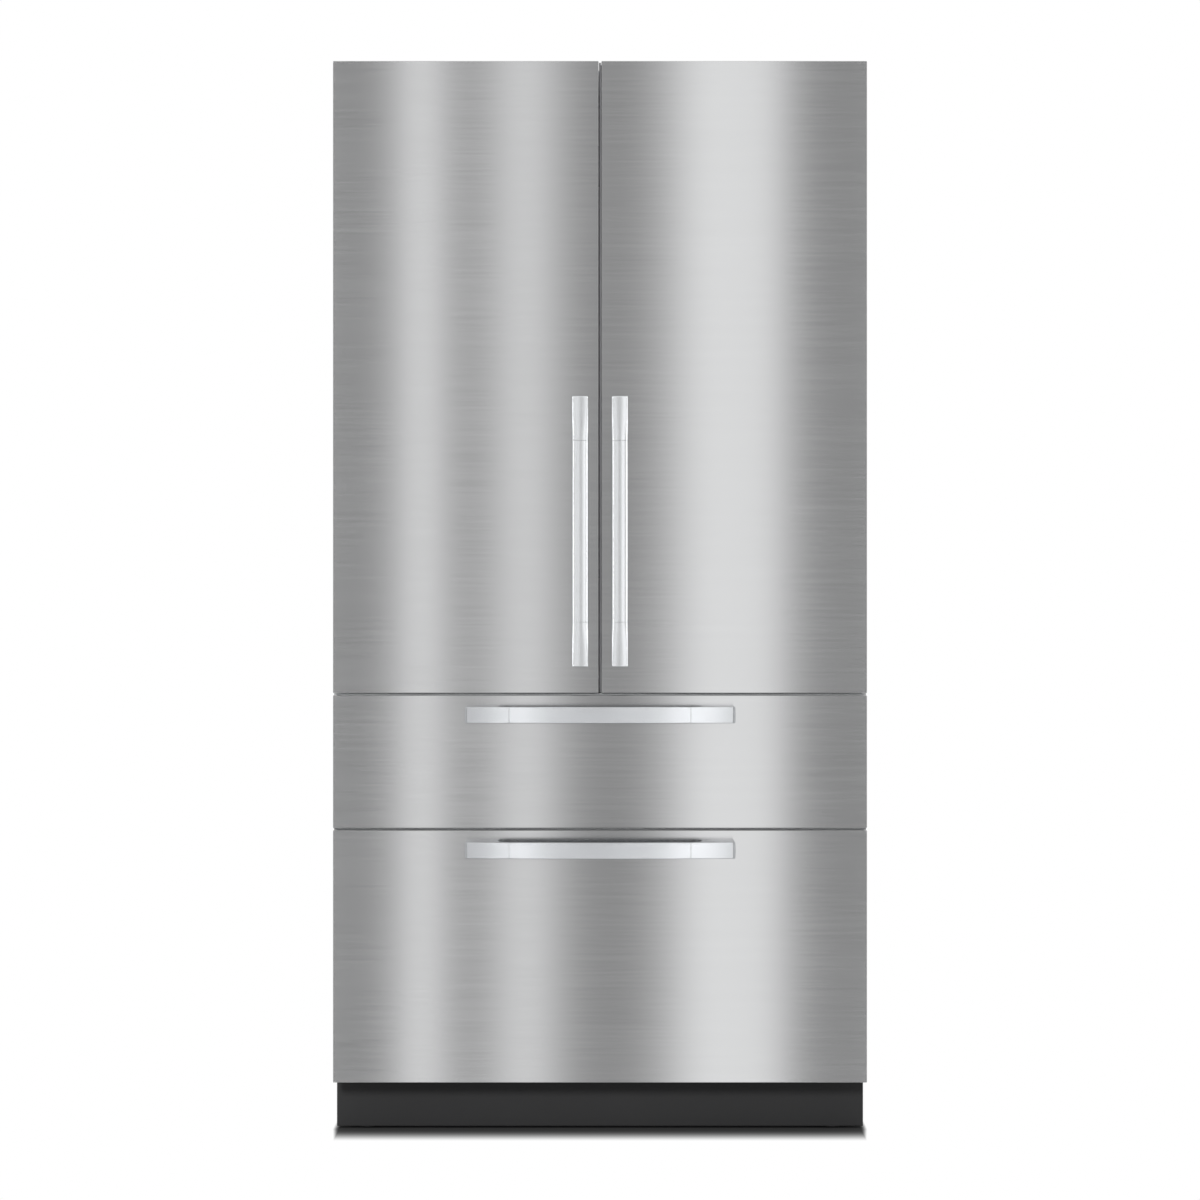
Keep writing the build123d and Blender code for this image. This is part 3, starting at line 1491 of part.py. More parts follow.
# Light bars on the ceiling and on both side walls
def light_bars():
    y0, y1 = light_y, light_y + light_depth
    ceiling = block(ceiling_light_x0, ceiling_light_x1, y0, y1, fridge_z1 - light_thickness, fridge_z1)
    ceiling = chamfer(ceiling.faces().sort_by(Axis.Z)[0].edges(), light_thickness / 4)
    side = block(room_half - light_thickness, room_half, y0, y1, side_light_low_z, side_light_high_z)
    side = chamfer(side.faces().sort_by(Axis.X)[0].edges(), light_thickness / 4)
    return both_sides(ceiling) + both_sides(side)


def control_panel():
    y0, y1 = control_front_y, control_front_y + control_depth
    shape = block(-control_half, control_half, y0, y1, fridge_z1 - control_thickness, fridge_z1)
    return chamfer(shape.edges().filter_by(Axis.Z), control_thickness)


def left(shape):
    return mirror(shape, Plane.YZ)


# Build and save every node
os.makedirs("parts", exist_ok=True)

rails = face_rails()
save("cabinet_wrapper", outer_shell())
save("foam_insulation", foam_body(rails))
save("face_rails", rails)
save("fridge_liner", fridge_liner())
save("drawer_liners", chill_liner(), freezer_liner())
save("base_frame", base_frame())
save("toe_kick", toe_kick())
save("hinge_brackets", hinge_brackets())
save("levelling_leg_left", levelling_leg(-leg_x))
save("levelling_leg_right", levelling_leg(leg_x))
save("rear_rollers", rear_rollers())

save("left_door_panel", left(front_panel(*door_panel)))
save("right_door_panel", front_panel(*door_panel))
right_core = door_core()
save("right_door_body", right_core)
save("left_door_body", left(right_core))
left_liner = left(door_liner(left_bin_levels))
for lug in mullion_lugs():
    left_liner = left_liner + lug
save("left_door_liner", left_liner)
save("right_door_liner", door_liner(right_bin_levels))
save("right_door_gasket", door_gasket())
save("left_door_gasket", left(door_gasket()))
save("left_door_bins", [left(door_bin(left_bin_levels, index)) for index in range(len(left_bin_levels))])
save("right_door_bins", [door_bin(right_bin_levels, index) for index in range(len(right_bin_levels))])
save("left_door_handle", placed_handle(-door_handle_offset, door_handle_z, True))
save("right_door_handle", placed_handle(door_handle_offset, door_handle_z, True))
save("flip_mullion", flip_mullion())

save("upper_drawer_panel", front_panel(*upper_panel))
save("upper_drawer_front", drawer_core(upper_panel, (chill_z0, chill_z1)))
save("upper_drawer_gasket", drawer_gasket(upper_panel))
save("upper_drawer_handle", placed_handle(0, upper_z1 - upper_handle_drop, False))
save("upper_drawer_frame", upper_frame())
save("upper_drawer_bin", upper_drawer_bin())
save("lower_drawer_panel", front_panel(*lower_panel))
save("lower_drawer_front", drawer_core(lower_panel, (freezer_z0, freezer_z1)))
save("lower_drawer_gasket", drawer_gasket(lower_panel))
save("lower_drawer_handle", placed_handle(0, lower_z1 - lower_handle_drop, False))
save("lower_drawer_frame", lower_frame())
save("freezer_bin", freezer_bin())
save("freezer_tray", freezer_tray())
save("slide_outer_members", both_sides(outer_member(upper_slide_z)), both_sides(outer_member(lower_slide_z)))
save("upper_slide_middles", both_sides(middle_member(upper_slide_z)))
save("lower_slide_middles", both_sides(middle_member(lower_slide_z)))

save("crisper_right", crisper())
save("crisper_left", left(crisper()))
cover_frame, cover_glass = crisper_cover()
frames, panes = [cover_frame], [cover_glass]
for slots, side in ((left_shelf_slots, left), (right_shelf_slots, lambda shape: shape)):
    for index in slots:
        frame, pane, arms = shelf(index)
        frames.append(side(frame))
        frames.extend(side(arm) for arm in arms)
        panes.append(side(pane))
save("shelf_frames", frames)
save("shelf_glass", panes)
save("shelf_tracks", [shelf_track(x) for x in (-track_side_x, -track_centre_x, track_centre_x, track_side_x)])

fridge_size = (fridge_cover_half, fridge_cover_z0, fridge_cover_z1, fridge_cover_depth)
fridge_unit = cold_unit(*fridge_size, fridge_fan_z)
save("fridge_air_cover", fridge_unit[0])
save("fridge_evaporator", fridge_unit[1])
save("fridge_fan", fridge_unit[2])
freezer_size = (freezer_cover_half, freezer_cover_z0, freezer_cover_z1, freezer_cover_depth)
freezer_unit = cold_unit(*freezer_size, freezer_fan_z)
save("freezer_air_cover", freezer_unit[0])
save("freezer_evaporator", freezer_unit[1])
save("freezer_fan", freezer_unit[2])

save("compressor", compressor())
condenser_coil, condenser_shroud, fan_y, fan_z = condenser()
leg_reach = fan_hub_depth + motor_gap + motor_depth - fan_set_in
turned = Pos(shroud_x + fan_set_in, fan_y, fan_z) * Rot(0, 0, 90)
motor = turned * fan_mount(condenser_fan_radius + fan_hole_gap + mount_bar, leg_reach)
save("condenser", condenser_coil, condenser_shroud, motor)
save("condenser_fan", turned * fan_rotor(condenser_fan_radius, condenser_fan_blades))
save("drain_pan", drain_pan())
save("machine_cover", machine_cover())
save("water_valve", water_valve())
save("power_inlet", power_inlet())
save("light_bars", light_bars())
save("control_panel", control_panel())
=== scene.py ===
import json
import math
import bmesh
import bpy
import numpy as np
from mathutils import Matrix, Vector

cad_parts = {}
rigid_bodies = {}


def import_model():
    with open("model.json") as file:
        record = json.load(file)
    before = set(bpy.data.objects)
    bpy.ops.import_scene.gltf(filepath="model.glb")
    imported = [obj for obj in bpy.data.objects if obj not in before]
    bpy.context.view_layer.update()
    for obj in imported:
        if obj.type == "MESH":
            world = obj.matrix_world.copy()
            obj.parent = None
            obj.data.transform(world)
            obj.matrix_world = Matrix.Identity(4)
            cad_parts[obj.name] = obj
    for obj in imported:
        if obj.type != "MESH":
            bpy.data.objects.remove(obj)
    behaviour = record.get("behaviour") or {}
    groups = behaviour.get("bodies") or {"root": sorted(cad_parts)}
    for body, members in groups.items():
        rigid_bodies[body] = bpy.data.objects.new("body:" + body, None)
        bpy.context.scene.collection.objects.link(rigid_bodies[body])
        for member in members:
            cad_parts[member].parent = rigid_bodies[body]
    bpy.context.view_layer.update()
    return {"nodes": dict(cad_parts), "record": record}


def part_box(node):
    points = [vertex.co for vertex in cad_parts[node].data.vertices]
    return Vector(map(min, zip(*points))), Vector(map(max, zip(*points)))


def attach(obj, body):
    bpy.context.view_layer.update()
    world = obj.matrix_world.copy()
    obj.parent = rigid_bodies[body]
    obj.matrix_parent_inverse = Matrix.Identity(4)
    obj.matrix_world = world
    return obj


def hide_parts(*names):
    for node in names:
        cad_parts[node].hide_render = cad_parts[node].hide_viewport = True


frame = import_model()
scene = bpy.context.scene
mm = 0.001
print("frame loaded:", len(frame["nodes"]), "nodes")


class Value:
    # A number that varies over the surface; + - * / and ** add Math nodes
    def __init__(self, tree, socket):
        self.tree = tree
        self.socket = socket

    def join(self, operation, first, second):
        node = self.tree.nodes.new("ShaderNodeMath")
        node.operation = operation
        for index, item in enumerate((first, second)):
            if isinstance(item, Value):
                self.tree.links.new(item.socket, node.inputs[index])
            else:
                node.inputs[index].default_value = item
        return Value(self.tree, node.outputs[0])

    def __add__(self, other):
        return self.join("ADD", self, other)

    def __radd__(self, other):
        return self.join("ADD", other, self)

    def __sub__(self, other):
        return self.join("SUBTRACT", self, other)

    def __rsub__(self, other):
        return self.join("SUBTRACT", other, self)

    def __mul__(self, other):
        return self.join("MULTIPLY", self, other)

    def __rmul__(self, other):
        return self.join("MULTIPLY", other, self)

    def __truediv__(self, other):
        return self.join("DIVIDE", self, other)

    def __pow__(self, other):
        return self.join("POWER", self, other)

    def apply(self, operation, other=0.0):
        return self.join(operation, self, other)


class Finish:
    # One node tree: put() takes a node's type, its settings and the values or links of its sockets
    def __init__(self, name, world=None):
        if world is None:
            self.material = bpy.data.materials.new(name)
            self.material.use_nodes = True
            self.tree = self.material.node_tree
        else:
            world.use_nodes = True
            self.tree = world.node_tree
        self.tree.nodes.clear()

    def put(self, kind, settings=None, out=0, **sockets):
        node = self.tree.nodes.new(kind)
        for key, item in (settings or {}).items():
            setattr(node, key, item)
        for key, item in sockets.items():
            self.feed(node, key, item)
        return node if out is None else Value(self.tree, node.outputs[out])

    def feed(self, node, key, item):
        # A socket goes by its name, with _ for each space, or by i and its number
        spot = int(key[1:]) if key[0] == "i" and key[1:].isdigit() else key.replace("_", " ")
        socket = node.inputs[spot]
        if isinstance(item, Value):
            self.tree.links.new(item.socket, socket)
        elif hasattr(item, "is_output"):
            self.tree.links.new(item, socket)
        elif socket.type == "RGBA":
            socket.default_value = (*item, 1.0)
        else:
            socket.default_value = item

    def noise(self, scale, detail, rough, stretch=(1, 1, 1)):
        # Noise on Object coordinates; a stretch under 1 draws it out along that axis
        where = self.put("ShaderNodeTexCoord", out="Object")
        spot = self.put("ShaderNodeMapping", Vector=where, Scale=stretch)
        return self.put("ShaderNodeTexNoise", Vector=spot, Scale=scale, Detail=detail, Roughness=rough)

    def tint(self, share, dark, light):
        return self.put("ShaderNodeMix", {"data_type": "RGBA"}, out=2, i0=share, i6=dark, i7=light)

    def bump(self, height, strength, distance):
        return self.put("ShaderNodeBump", Height=height, Strength=strength, Distance=distance)

    def surface(self, **sockets):
        node = self.put("ShaderNodeBsdfPrincipled", out=None, **sockets)
        self.put("ShaderNodeOutputMaterial", out=None, Surface=node.outputs[0])
        return self.material


steelLook = {
    "dark": (0.475, 0.478, 0.482),
    "light": (0.525, 0.528, 0.532),
    "roughness": 0.11,
    "anisotropy": 0.95,
    "grainScale": 260.0,
}
trimLook = dict(steelLook, roughness=0.22, dark=(0.55, 0.56, 0.57), light=(0.64, 0.65, 0.66), anisotropy=0.6)
handleLook = {
    "dark": (0.535, 0.548, 0.565),
    "light": (0.580, 0.594, 0.612),
    "roughness": 0.21,
    "anisotropy": 0.5,
    "grainScale": 420.0,
}
# Its colour is painted lighter than the drawer handles' steel, to stand in for the brighter reflections on the
# upright handles
uprightLookPaintedLighter = dict(  # the same bar with its grain upright
    handleLook,
    dark=(0.715, 0.728, 0.745),
    light=(0.770, 0.784, 0.803),
    roughness=0.15,
    anisotropy=0.85,
)
brushing = {
    "stretch": 0.02,
    "broadScale": 0.16,
    "broadStretch": 1.5,
    "cloudScale": 2.2,
    "shares": (0.55, 0.25, 0.2),  # of the hair lines, the broad lines and the clouds
    "roughLines": 0.05,
    "roughClouds": 0.015,
    "leastRough": 0.03,
    "sheenTurn": 0.25,
    "bump": 0.03,
    "bumpReach": 0.0002,
}


def brushedSteel(name, look, alongX=True):
    # Hair lines: noise drawn out 50 times along the rolling direction. Colour takes their sum with
    # broader lines and clouds, by shares; roughness swings round its middle with lines and clouds; a
    # faint bump takes the lines
    f = Finish(name)
    b = brushing
    fine = (b["stretch"], 1.0, 1.0) if alongX else (1.0, 1.0, b["stretch"])
    wide = (fine[0] * b["broadStretch"], 1.0, fine[2] * b["broadStretch"])
    grain = f.noise(look["grainScale"], 3.0, 0.6, fine)
    broad = f.noise(look["grainScale"] * b["broadScale"], 2.0, 0.5, wide)
    cloud = f.noise(b["cloudScale"], 2.0, 0.5)
    share = grain * b["shares"][0] + broad * b["shares"][1] + cloud * b["shares"][2]
    colour = f.tint(share.apply("MINIMUM", 1.0), look["dark"], look["light"])
    rough = look["roughness"] + (grain - 0.5) * b["roughLines"] + (cloud - 0.5) * b["roughClouds"]
    return f.surface(
        Base_Color=colour,
        Metallic=1.0,
        Roughness=rough.apply("MAXIMUM", b["leastRough"]),
        Anisotropic=look["anisotropy"],
        Anisotropic_Rotation=b["sheenTurn"],
        Normal=f.bump(grain, b["bump"], b["bumpReach"]),
    )


def paint(dark, light, roughness, grain, bump, metallic=0.0, shine=0.5):
    # A look of a moulded or painted sheet, with grain as the scale of its skin
    return {
        "dark": dark,
        "light": light,
        "roughness": roughness,
        "grain": grain,
        "bump": bump,
        "metallic": metallic,
        "shine": shine,
    }


paintLook = {
    "cabinetSteel": paint((0.41, 0.42, 0.43), (0.45, 0.46, 0.47), 0.42, 520.0, 0.03, metallic=0.35),
    "zincSteel": paint((0.46, 0.47, 0.48), (0.66, 0.67, 0.68), 0.38, 34.0, 0.03, metallic=0.85),
    "charcoalPaint": paint((0.0175, 0.0175, 0.018), (0.0265, 0.0265, 0.027), 0.6, 700.0, 0.10, shine=0.12),
    "foamSkin": paint((0.57, 0.565, 0.54), (0.64, 0.635, 0.61), 0.8, 160.0, 0.35),
    "linerWhite": paint((0.62, 0.63, 0.635), (0.66, 0.67, 0.675), 0.30, 420.0, 0.02),
    "bodyGrey": paint((0.23, 0.24, 0.25), (0.29, 0.30, 0.31), 0.5, 600.0, 0.12),
    "gasketVinyl": paint((0.16, 0.16, 0.17), (0.22, 0.22, 0.23), 0.6, 500.0, 0.08),
    "blackPlastic": paint((0.020, 0.020, 0.021), (0.034, 0.034, 0.036), 0.45, 800.0, 0.12),
    "aluminiumSheet": paint((0.62, 0.63, 0.64), (0.74, 0.75, 0.76), 0.32, 300.0, 0.04, metallic=0.95),
    "blackSteel": paint((0.012, 0.012, 0.013), (0.022, 0.022, 0.023), 0.3, 220.0, 0.08, metallic=0.1),
    "copper": paint((0.62, 0.30, 0.18), (0.78, 0.42, 0.27), 0.28, 60.0, 0.02, metallic=1.0),
    "lightDiffuser": paint((0.88, 0.88, 0.85), (0.95, 0.95, 0.92), 0.35, 900.0, 0.05),
}
skinPattern = {
    "cloudScale": 3.5,
    "shares": (0.6, 0.4),  # of the clouds and the skin
    "roughSkin": 0.12,
    "roughClouds": 0.10,
    "leastRough": 0.05,
    "bumpReach": 0.0006,
}


def mouldedOrPainted(name, look):
    # Two scales of noise: cloudy colour over the sheet, and a fine skin that also swings roughness and bump
    f = Finish(name)
    s = skinPattern
    cloud = f.noise(s["cloudScale"], 3.0, 0.55)
    skin = f.noise(look["grain"], 2.0, 0.5)
    share = cloud * s["shares"][0] + skin * s["shares"][1]
    rough = look["roughness"] + (skin - 0.5) * s["roughSkin"] + (cloud - 0.5) * s["roughClouds"]
    return f.surface(
        Base_Color=f.tint(share, look["dark"], look["light"]),
        Metallic=look["metallic"],
        Roughness=rough.apply("MAXIMUM", s["leastRough"]),
        Specular_IOR_Level=look["shine"],
        Normal=f.bump(skin, look["bump"], s["bumpReach"]),
    )


clearLook = {
    "clearBin": {
        "dark": (0.82, 0.87, 0.90),
        "light": (0.88, 0.93, 0.95),
        "roughness": 0.10,
        "through": 0.20,
        "rim": 0.55,
    },
    "shelfGlass": {
        "dark": (0.75, 0.87, 0.84),
        "light": (0.80, 0.91, 0.88),
        "roughness": 0.04,
        "through": 0.14,
        "rim": 0.58,
    },
}
flowPattern = {
    "scale": 3.0,
    "stretch": (1, 1, 0.3),
    "fineScale": 240.0,
    "blend": 0.45,
    "falloff": 1.6,
    "swing": 0.02,
    "fineSwing": 0.03,
    "bump": 0.03,
    "bumpReach": 0.0004,
}


def clearMaterial(name, look):
    # Cover = through + rim * facing^falloff, nearly clear face on and filled in at the edges, with faint
    # flow lines
    f = Finish(name)
    p = flowPattern
    flow = f.noise(p["scale"], 1.0, 0.4, p["stretch"])
    fine = f.noise(p["fineScale"], 1.0, 0.5)
    facing = f.put("ShaderNodeLayerWeight", out="Facing", Blend=p["blend"])
    cover = facing ** p["falloff"] * look["rim"] + look["through"] + (flow - 0.5) * p["swing"]
    rough = look["roughness"] + (flow - 0.5) * p["swing"] + (fine - 0.5) * p["fineSwing"]
    return f.surface(
        Base_Color=f.tint(flow, look["dark"], look["light"]),
        Roughness=rough.apply("MAXIMUM", 0.0),
        Alpha=cover.apply("MAXIMUM", 0.0).apply("MINIMUM", 1.0),
        IOR=1.5,
        Normal=f.bump(flow, p["bump"], p["bumpReach"]),
    )


finishes = {
    "stainless": brushedSteel("brushedPanelSteel", steelLook),
    "handle_metal": brushedSteel("satinHandleSteel", handleLook),
    "shelf_trim": brushedSteel("shelfTrimSteel", trimLook),
}
# The upright handles' steel, its colour painted lighter to stand in for their brighter reflections
uprightSteelPaintedLighter = brushedSteel("satinUprightSteel", uprightLookPaintedLighter, False)
for slotName, key in (
    ("cabinet_steel", "cabinetSteel"),
    ("zinc_steel", "zincSteel"),
    ("charcoal", "charcoalPaint"),
    ("foam", "foamSkin"),
    ("liner_white", "linerWhite"),
    ("body_grey", "bodyGrey"),
    ("gasket_grey", "gasketVinyl"),
    ("black_plastic", "blackPlastic"),
    ("aluminium", "aluminiumSheet"),
    ("black_steel", "blackSteel"),
    ("light_diffuser", "lightDiffuser"),
):
    finishes[slotName] = mouldedOrPainted(key, paintLook[key])
for slotName, key in (("clear_bin", "clearBin"), ("glass", "shelfGlass")):
    finishes[slotName] = clearMaterial(key, clearLook[key])
print("finishes made:", len(finishes))

# Every CAD node takes the finish of its material slot
nodeSlots = {part["node"]: part["material_slot"] for part in frame["record"]["subparts"]}
for nodeName, nodeObject in frame["nodes"].items():
    nodeObject.data.materials.clear()
    nodeObject.data.materials.append(finishes[nodeSlots[nodeName]])


def inMillimetres(low, high):
    # A box as x0, x1, y0, y1, z0, z1
    return [v / mm for v in (low.x, high.x, low.y, high.y, low.z, high.z)]


def gridFaces(rows, columns, wrapRows=False, wrapColumns=True):
    # Quads between neighbouring points of a rows by columns grid, closed round where asked
    a = np.arange(rows * columns).reshape(rows, columns)
    if wrapRows:
        a = np.vstack([a, a[:1]])
    if wrapColumns:
        a = np.hstack([a, a[:, :1]])
    return np.stack([a[:-1, :-1], a[:-1, 1:], a[1:, 1:], a[1:, :-1]], axis=-1).reshape(-1, 4)


def joined(forms):
    # Several forms in one mesh: their points stacked, their faces numbered on
    points, faces, start = [], [], 0
    for somePoints, someFaces in forms:
        flat = np.asarray(somePoints, float).reshape(-1, 3)
        points.append(flat)
        faces += [[int(i) + start for i in face] for face in someFaces]
        start += len(flat)
    return np.concatenate(points), faces


def closeUp(mesh):
    # Merges doubled points, drops empty faces and turns every face outwards; both distances are in metres
    mergeWithin, emptyBelow = 1e-6, 1e-7
    work = bmesh.new()
    work.from_mesh(mesh)
    bmesh.ops.remove_doubles(work, verts=work.verts, dist=mergeWithin)
    bmesh.ops.dissolve_degenerate(work, edges=work.edges, dist=emptyBelow)
    bmesh.ops.recalc_face_normals(work, faces=work.faces)
    work.to_mesh(mesh)
    work.free()
    mesh.update()


def newPiece(name, form, slotName, body, stands=(), crease=35):
    # Form in millimetres to a mesh in metres, smooth but for folds sharper than crease degrees
    points, faces = form
    mesh = bpy.data.meshes.new(name)
    corners = np.asarray(points, float).reshape(-1, 3) * mm
    mesh.from_pydata(corners, [], [list(map(int, face)) for face in faces])
    mesh.validate()
    closeUp(mesh)
    mesh.polygons.foreach_set("use_smooth", [True] * len(mesh.polygons))
    mesh.set_sharp_from_angle(angle=math.radians(crease))
    mesh.materials.append(finishes[slotName])
    piece = bpy.data.objects.new(name, mesh)
    scene.collection.objects.link(piece)
    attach(piece, body)
    if stands:
        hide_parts(*stands)
    return piece


def flatten(piece):
    # Large faces set the shading, so that they stay flat beside their rounded edges
    level = piece.modifiers.new("flatFaces", "WEIGHTED_NORMAL")
    level.keep_sharp = True


def closedForm(points, rows, columns):
    # A grid closed round its columns, with a face over each end
    caps = [list(range(columns)), list(range((rows - 1) * columns, rows * columns))]
    return np.asarray(points).reshape(-1, 3), list(gridFaces(rows, columns)) + caps


def aroundAxis(centre, axis, radius, turn, height):
    # Points at radius, turn and height round the axis through the centre
    u, v, w = radius * np.cos(turn), radius * np.sin(turn), height + 0 * turn
    order = {"x": (w, u, v), "y": (v, w, u), "z": (u, v, w)}[axis]
    return np.stack(order, axis=-1) + np.array(centre, float)


def turnedForm(centre, axis, profile, steps=24, phase=0.0, sign=1):
    # Surface of revolution: radius r at height h along the axis, with a flat face at each end
    r, h = np.array(profile, float).T
    turn = np.linspace(0, 2 * np.pi, steps, endpoint=False) + phase
    return closedForm(aroundAxis(centre, axis, r[:, None], turn, sign * h[:, None]), len(r), steps)


def threadForm(centre, axis, radius, depth, pitch, length, steps):
    # Screw thread: radius falls by depth times a triangle wave of (height / pitch - turn / full circle)
    h = np.arange(0, length + pitch / 8, pitch / 4)[:, None]
    turn = np.linspace(0, 2 * np.pi, steps, endpoint=False)[None, :]
    wave = np.abs(2 * ((h / pitch - turn / (2 * np.pi)) % 1.0) - 1)
    fade = np.clip(np.minimum(h, length - h) / pitch, 0, 1)
    r = radius - depth * (1 - fade * (1 - wave))
    return closedForm(aroundAxis(centre, axis, r, turn, h), h.shape[0], steps)


def tubeForm(path, radius, upward, steps, loop=False):
    # Round section carried along a line of points, held square to its direction and to the upward vector
    path = np.asarray(path, float)
    if loop:
        way = np.roll(path, -1, axis=0) - np.roll(path, 1, axis=0)
    else:
        way = np.gradient(path, axis=0)
    way = way / np.linalg.norm(way, axis=1)[:, None]
    side = np.cross(way, np.array(upward, float))
    side = side / np.linalg.norm(side, axis=1)[:, None]
    top = np.cross(side, way)
    turn = np.linspace(0, 2 * np.pi, steps, endpoint=False)[None, :, None]
    points = path[:, None, :] + radius * (side[:, None, :] * np.cos(turn) + top[:, None, :] * np.sin(turn))
    if loop:
        return points.reshape(-1, 3), list(gridFaces(len(path), steps, wrapRows=True))
    return closedForm(points, len(path), steps)


def easedPath(corners, rounds=3):
    # Corner cutting: each pass puts points a quarter and three quarters along every run, ends kept
    path = np.asarray(corners, float)
    for _ in range(rounds):
        a, b = path[:-1], path[1:]
        cut = np.stack([0.75 * a + 0.25 * b, 0.25 * a + 0.75 * b], axis=1).reshape(-1, 3)
        path = np.vstack([path[:1], cut, path[-1:]])
    return path


def cornerTurns(count):
    # Angles of a closed quarter-turn outline: each corner has count + 1 steps of its own
    steps = np.linspace(0, 90, count + 1)
    return np.concatenate([np.radians(180 + 90 * k + steps) for k in range(4)])


def roundedRing(x0, x1, z0, z1, radius, count):
    # A rounded rectangle as one closed ring of points, anticlockwise from the low left corner
    turns = cornerTurns(count)
    sx = np.repeat([x0 + radius, x1 - radius, x1 - radius, x0 + radius], count + 1)
    sz = np.repeat([z0 + radius, z0 + radius, z1 - radius, z1 - radius], count + 1)
    return sx + radius * np.cos(turns), sz + radius * np.sin(turns)


leastCorner = 0.05  # a ring's corners never close to a point


def boxForm(x0, x1, y0, y1, z0, z1, edge):
    # Block with its long edges rounded: a ring in x and y, drawn in by edge, 0.3 edge and nothing at both
    # ends, its corner radius less by 0.7 of that
    climb, drawn = edge * np.array([0.0, 0.3, 1.0]), edge * np.array([1.0, 0.3, 0.0])
    heights = np.concatenate([z0 + climb, z1 - climb[::-1]])
    rings = []
    for z, inset in zip(heights, np.concatenate([drawn, drawn[::-1]])):
        corner = max(edge - inset * 0.7, leastCorner)
        rx, ry = roundedRing(x0 + inset, x1 - inset, y0 + inset, y1 - inset, corner, 3)
        rings.append(np.stack([rx, ry, np.full_like(rx, z)], axis=-1))
    return closedForm(np.array(rings), len(rings), len(rings[0]))


def screwForm(centre, axis, sign, size):
    # Pan head with a round driver recess, standing on its seat at the centre point; radius and height by
    # its size
    head = [(1, 0), (1, 0.18), (0.86, 0.42), (0.5, 0.55), (0.3, 0.56), (0.26, 0.2)]
    return turnedForm(centre, axis, size * np.array(head), 14, sign=sign)


def hexForm(centre, axis, sign, size, tall):
    # Hexagon head on a thin washer; radius by its size, height by how tall it is
    scale = np.array([size, tall])
    washer = turnedForm(centre, axis, scale * np.array([(1.5, 0), (1.5, 0.25), (1.4, 0.3)]), 18, sign=sign)
    head = turnedForm(centre, axis, scale * np.array([(1, 0.2), (1, 0.85), (0.88, 1)]), 6, 0.3, sign)
    return joined([washer, head])


panelShape = {"radius": 0.9, "sheet": 1.2, "corner": 1.6, "roundSteps": 6, "cornerSteps": 4, "relief": 0.8}


def frontPan(name, node, body, shared):
    # Outline ring offset inwards by r(1 - sin t) and set back by r(1 - cos t): a sheet with rolled edges,
    # then its return; shared names the edges next to another panel, which stand back by the relief
    x0, x1, y0, y1, z0, z1 = inMillimetres(*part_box(node))
    s = panelShape
    x0, x1 = x0 + s["relief"] * ("west" in shared), x1 - s["relief"] * ("east" in shared)
    z0, z1 = z0 + s["relief"] * ("low" in shared), z1 - s["relief"] * ("high" in shared)
    t = np.radians(np.linspace(0, 90, s["roundSteps"] + 1))
    inset = np.append(s["radius"] * (1 - np.sin(t)), 0.0)
    depth = np.append(s["radius"] * (1 - np.cos(t)), y1 - y0)
    rings = []
    for i, d in zip(inset, depth):
        corner = max(s["corner"] - i, leastCorner)
        rx, rz = roundedRing(x0 + i, x1 - i, z0 + i, z1 - i, corner, s["cornerSteps"])
        rings.append(np.stack([rx, np.full_like(rx, y0 + d), rz], axis=-1))
    columns = len(rings[0])
    form = (np.concatenate(rings), list(gridFaces(len(rings), columns)) + [list(range(columns))])
    piece = newPiece(name, form, "stainless", body, (node,), 50)
    wall = piece.modifiers.new("sheet", "SOLIDIFY")
    wall.thickness = s["sheet"] * mm
    wall.offset = -1.0
    flatten(piece)


frontPan("leftDoorSkin", "left_door_panel", "left_door", ("east", "low"))
frontPan("rightDoorSkin", "right_door_panel", "right_door", ("west", "low"))
frontPan("upperDrawerSkin", "upper_drawer_panel", "upper_drawer", ("low", "high"))
frontPan("lowerDrawerSkin", "lower_drawer_panel", "lower_drawer", ("high",))
print("front skins made")

handleShape = {
    "length": 533.0,
    "width": 32.0,
    "reach": 59.9,
    "bow": 12.0,
    "barDepth": 13.0,
    "barLength": 357.0,
    "seamGap": 0.3,
    "seamChamfer": 0.25,
    "footCurve": 21.0,
    "footTaper": 3.0,
    "edgeRound": 1.2,
    "endRound": 1.2,
    "crown": 0.55,
    "uprightCrown": 0.40,
    "planeY": -275.0,
}


def ribbonSection(outer, inner, width, edge, crown, steps=5, across=12):
    # Rounded section carried between two lines: p = inner + s(outer - inner), w across, corners of radius
    # edge; the outer face falls away from its middle by crown (2w / width)^2
    span = np.linalg.norm(outer - inner, axis=1)[:, None]
    r = np.minimum(edge, span * 0.45)  # where the ribbon is thin, its corners stay short of meeting
    turns = cornerTurns(steps)[None, :]
    corner = np.repeat(np.arange(4), steps + 1)[None, :]
    s = np.where((corner == 0) | (corner == 3), r, span - r) + r * np.cos(turns)
    w = np.where(corner < 2, -width / 2 + r, width / 2 - r) + r * np.sin(turns)
    face = np.linspace(-1, 1, across + 1)[None, 1:-1]
    cut = 2 * (steps + 1)
    s = np.hstack([s[:, :cut], span + 0 * face, s[:, cut:]])
    w = np.hstack([w[:, :cut], (width / 2 - r) * face, w[:, cut:]])
    s = s - crown * (s / span) * (2 * w / width) ** 2
    direction = (outer - inner) / span
    flat = inner[:, None, :] + s[:, :, None] * direction[:, None, :]
    return np.concatenate([flat, w[:, :, None]], axis=-1)


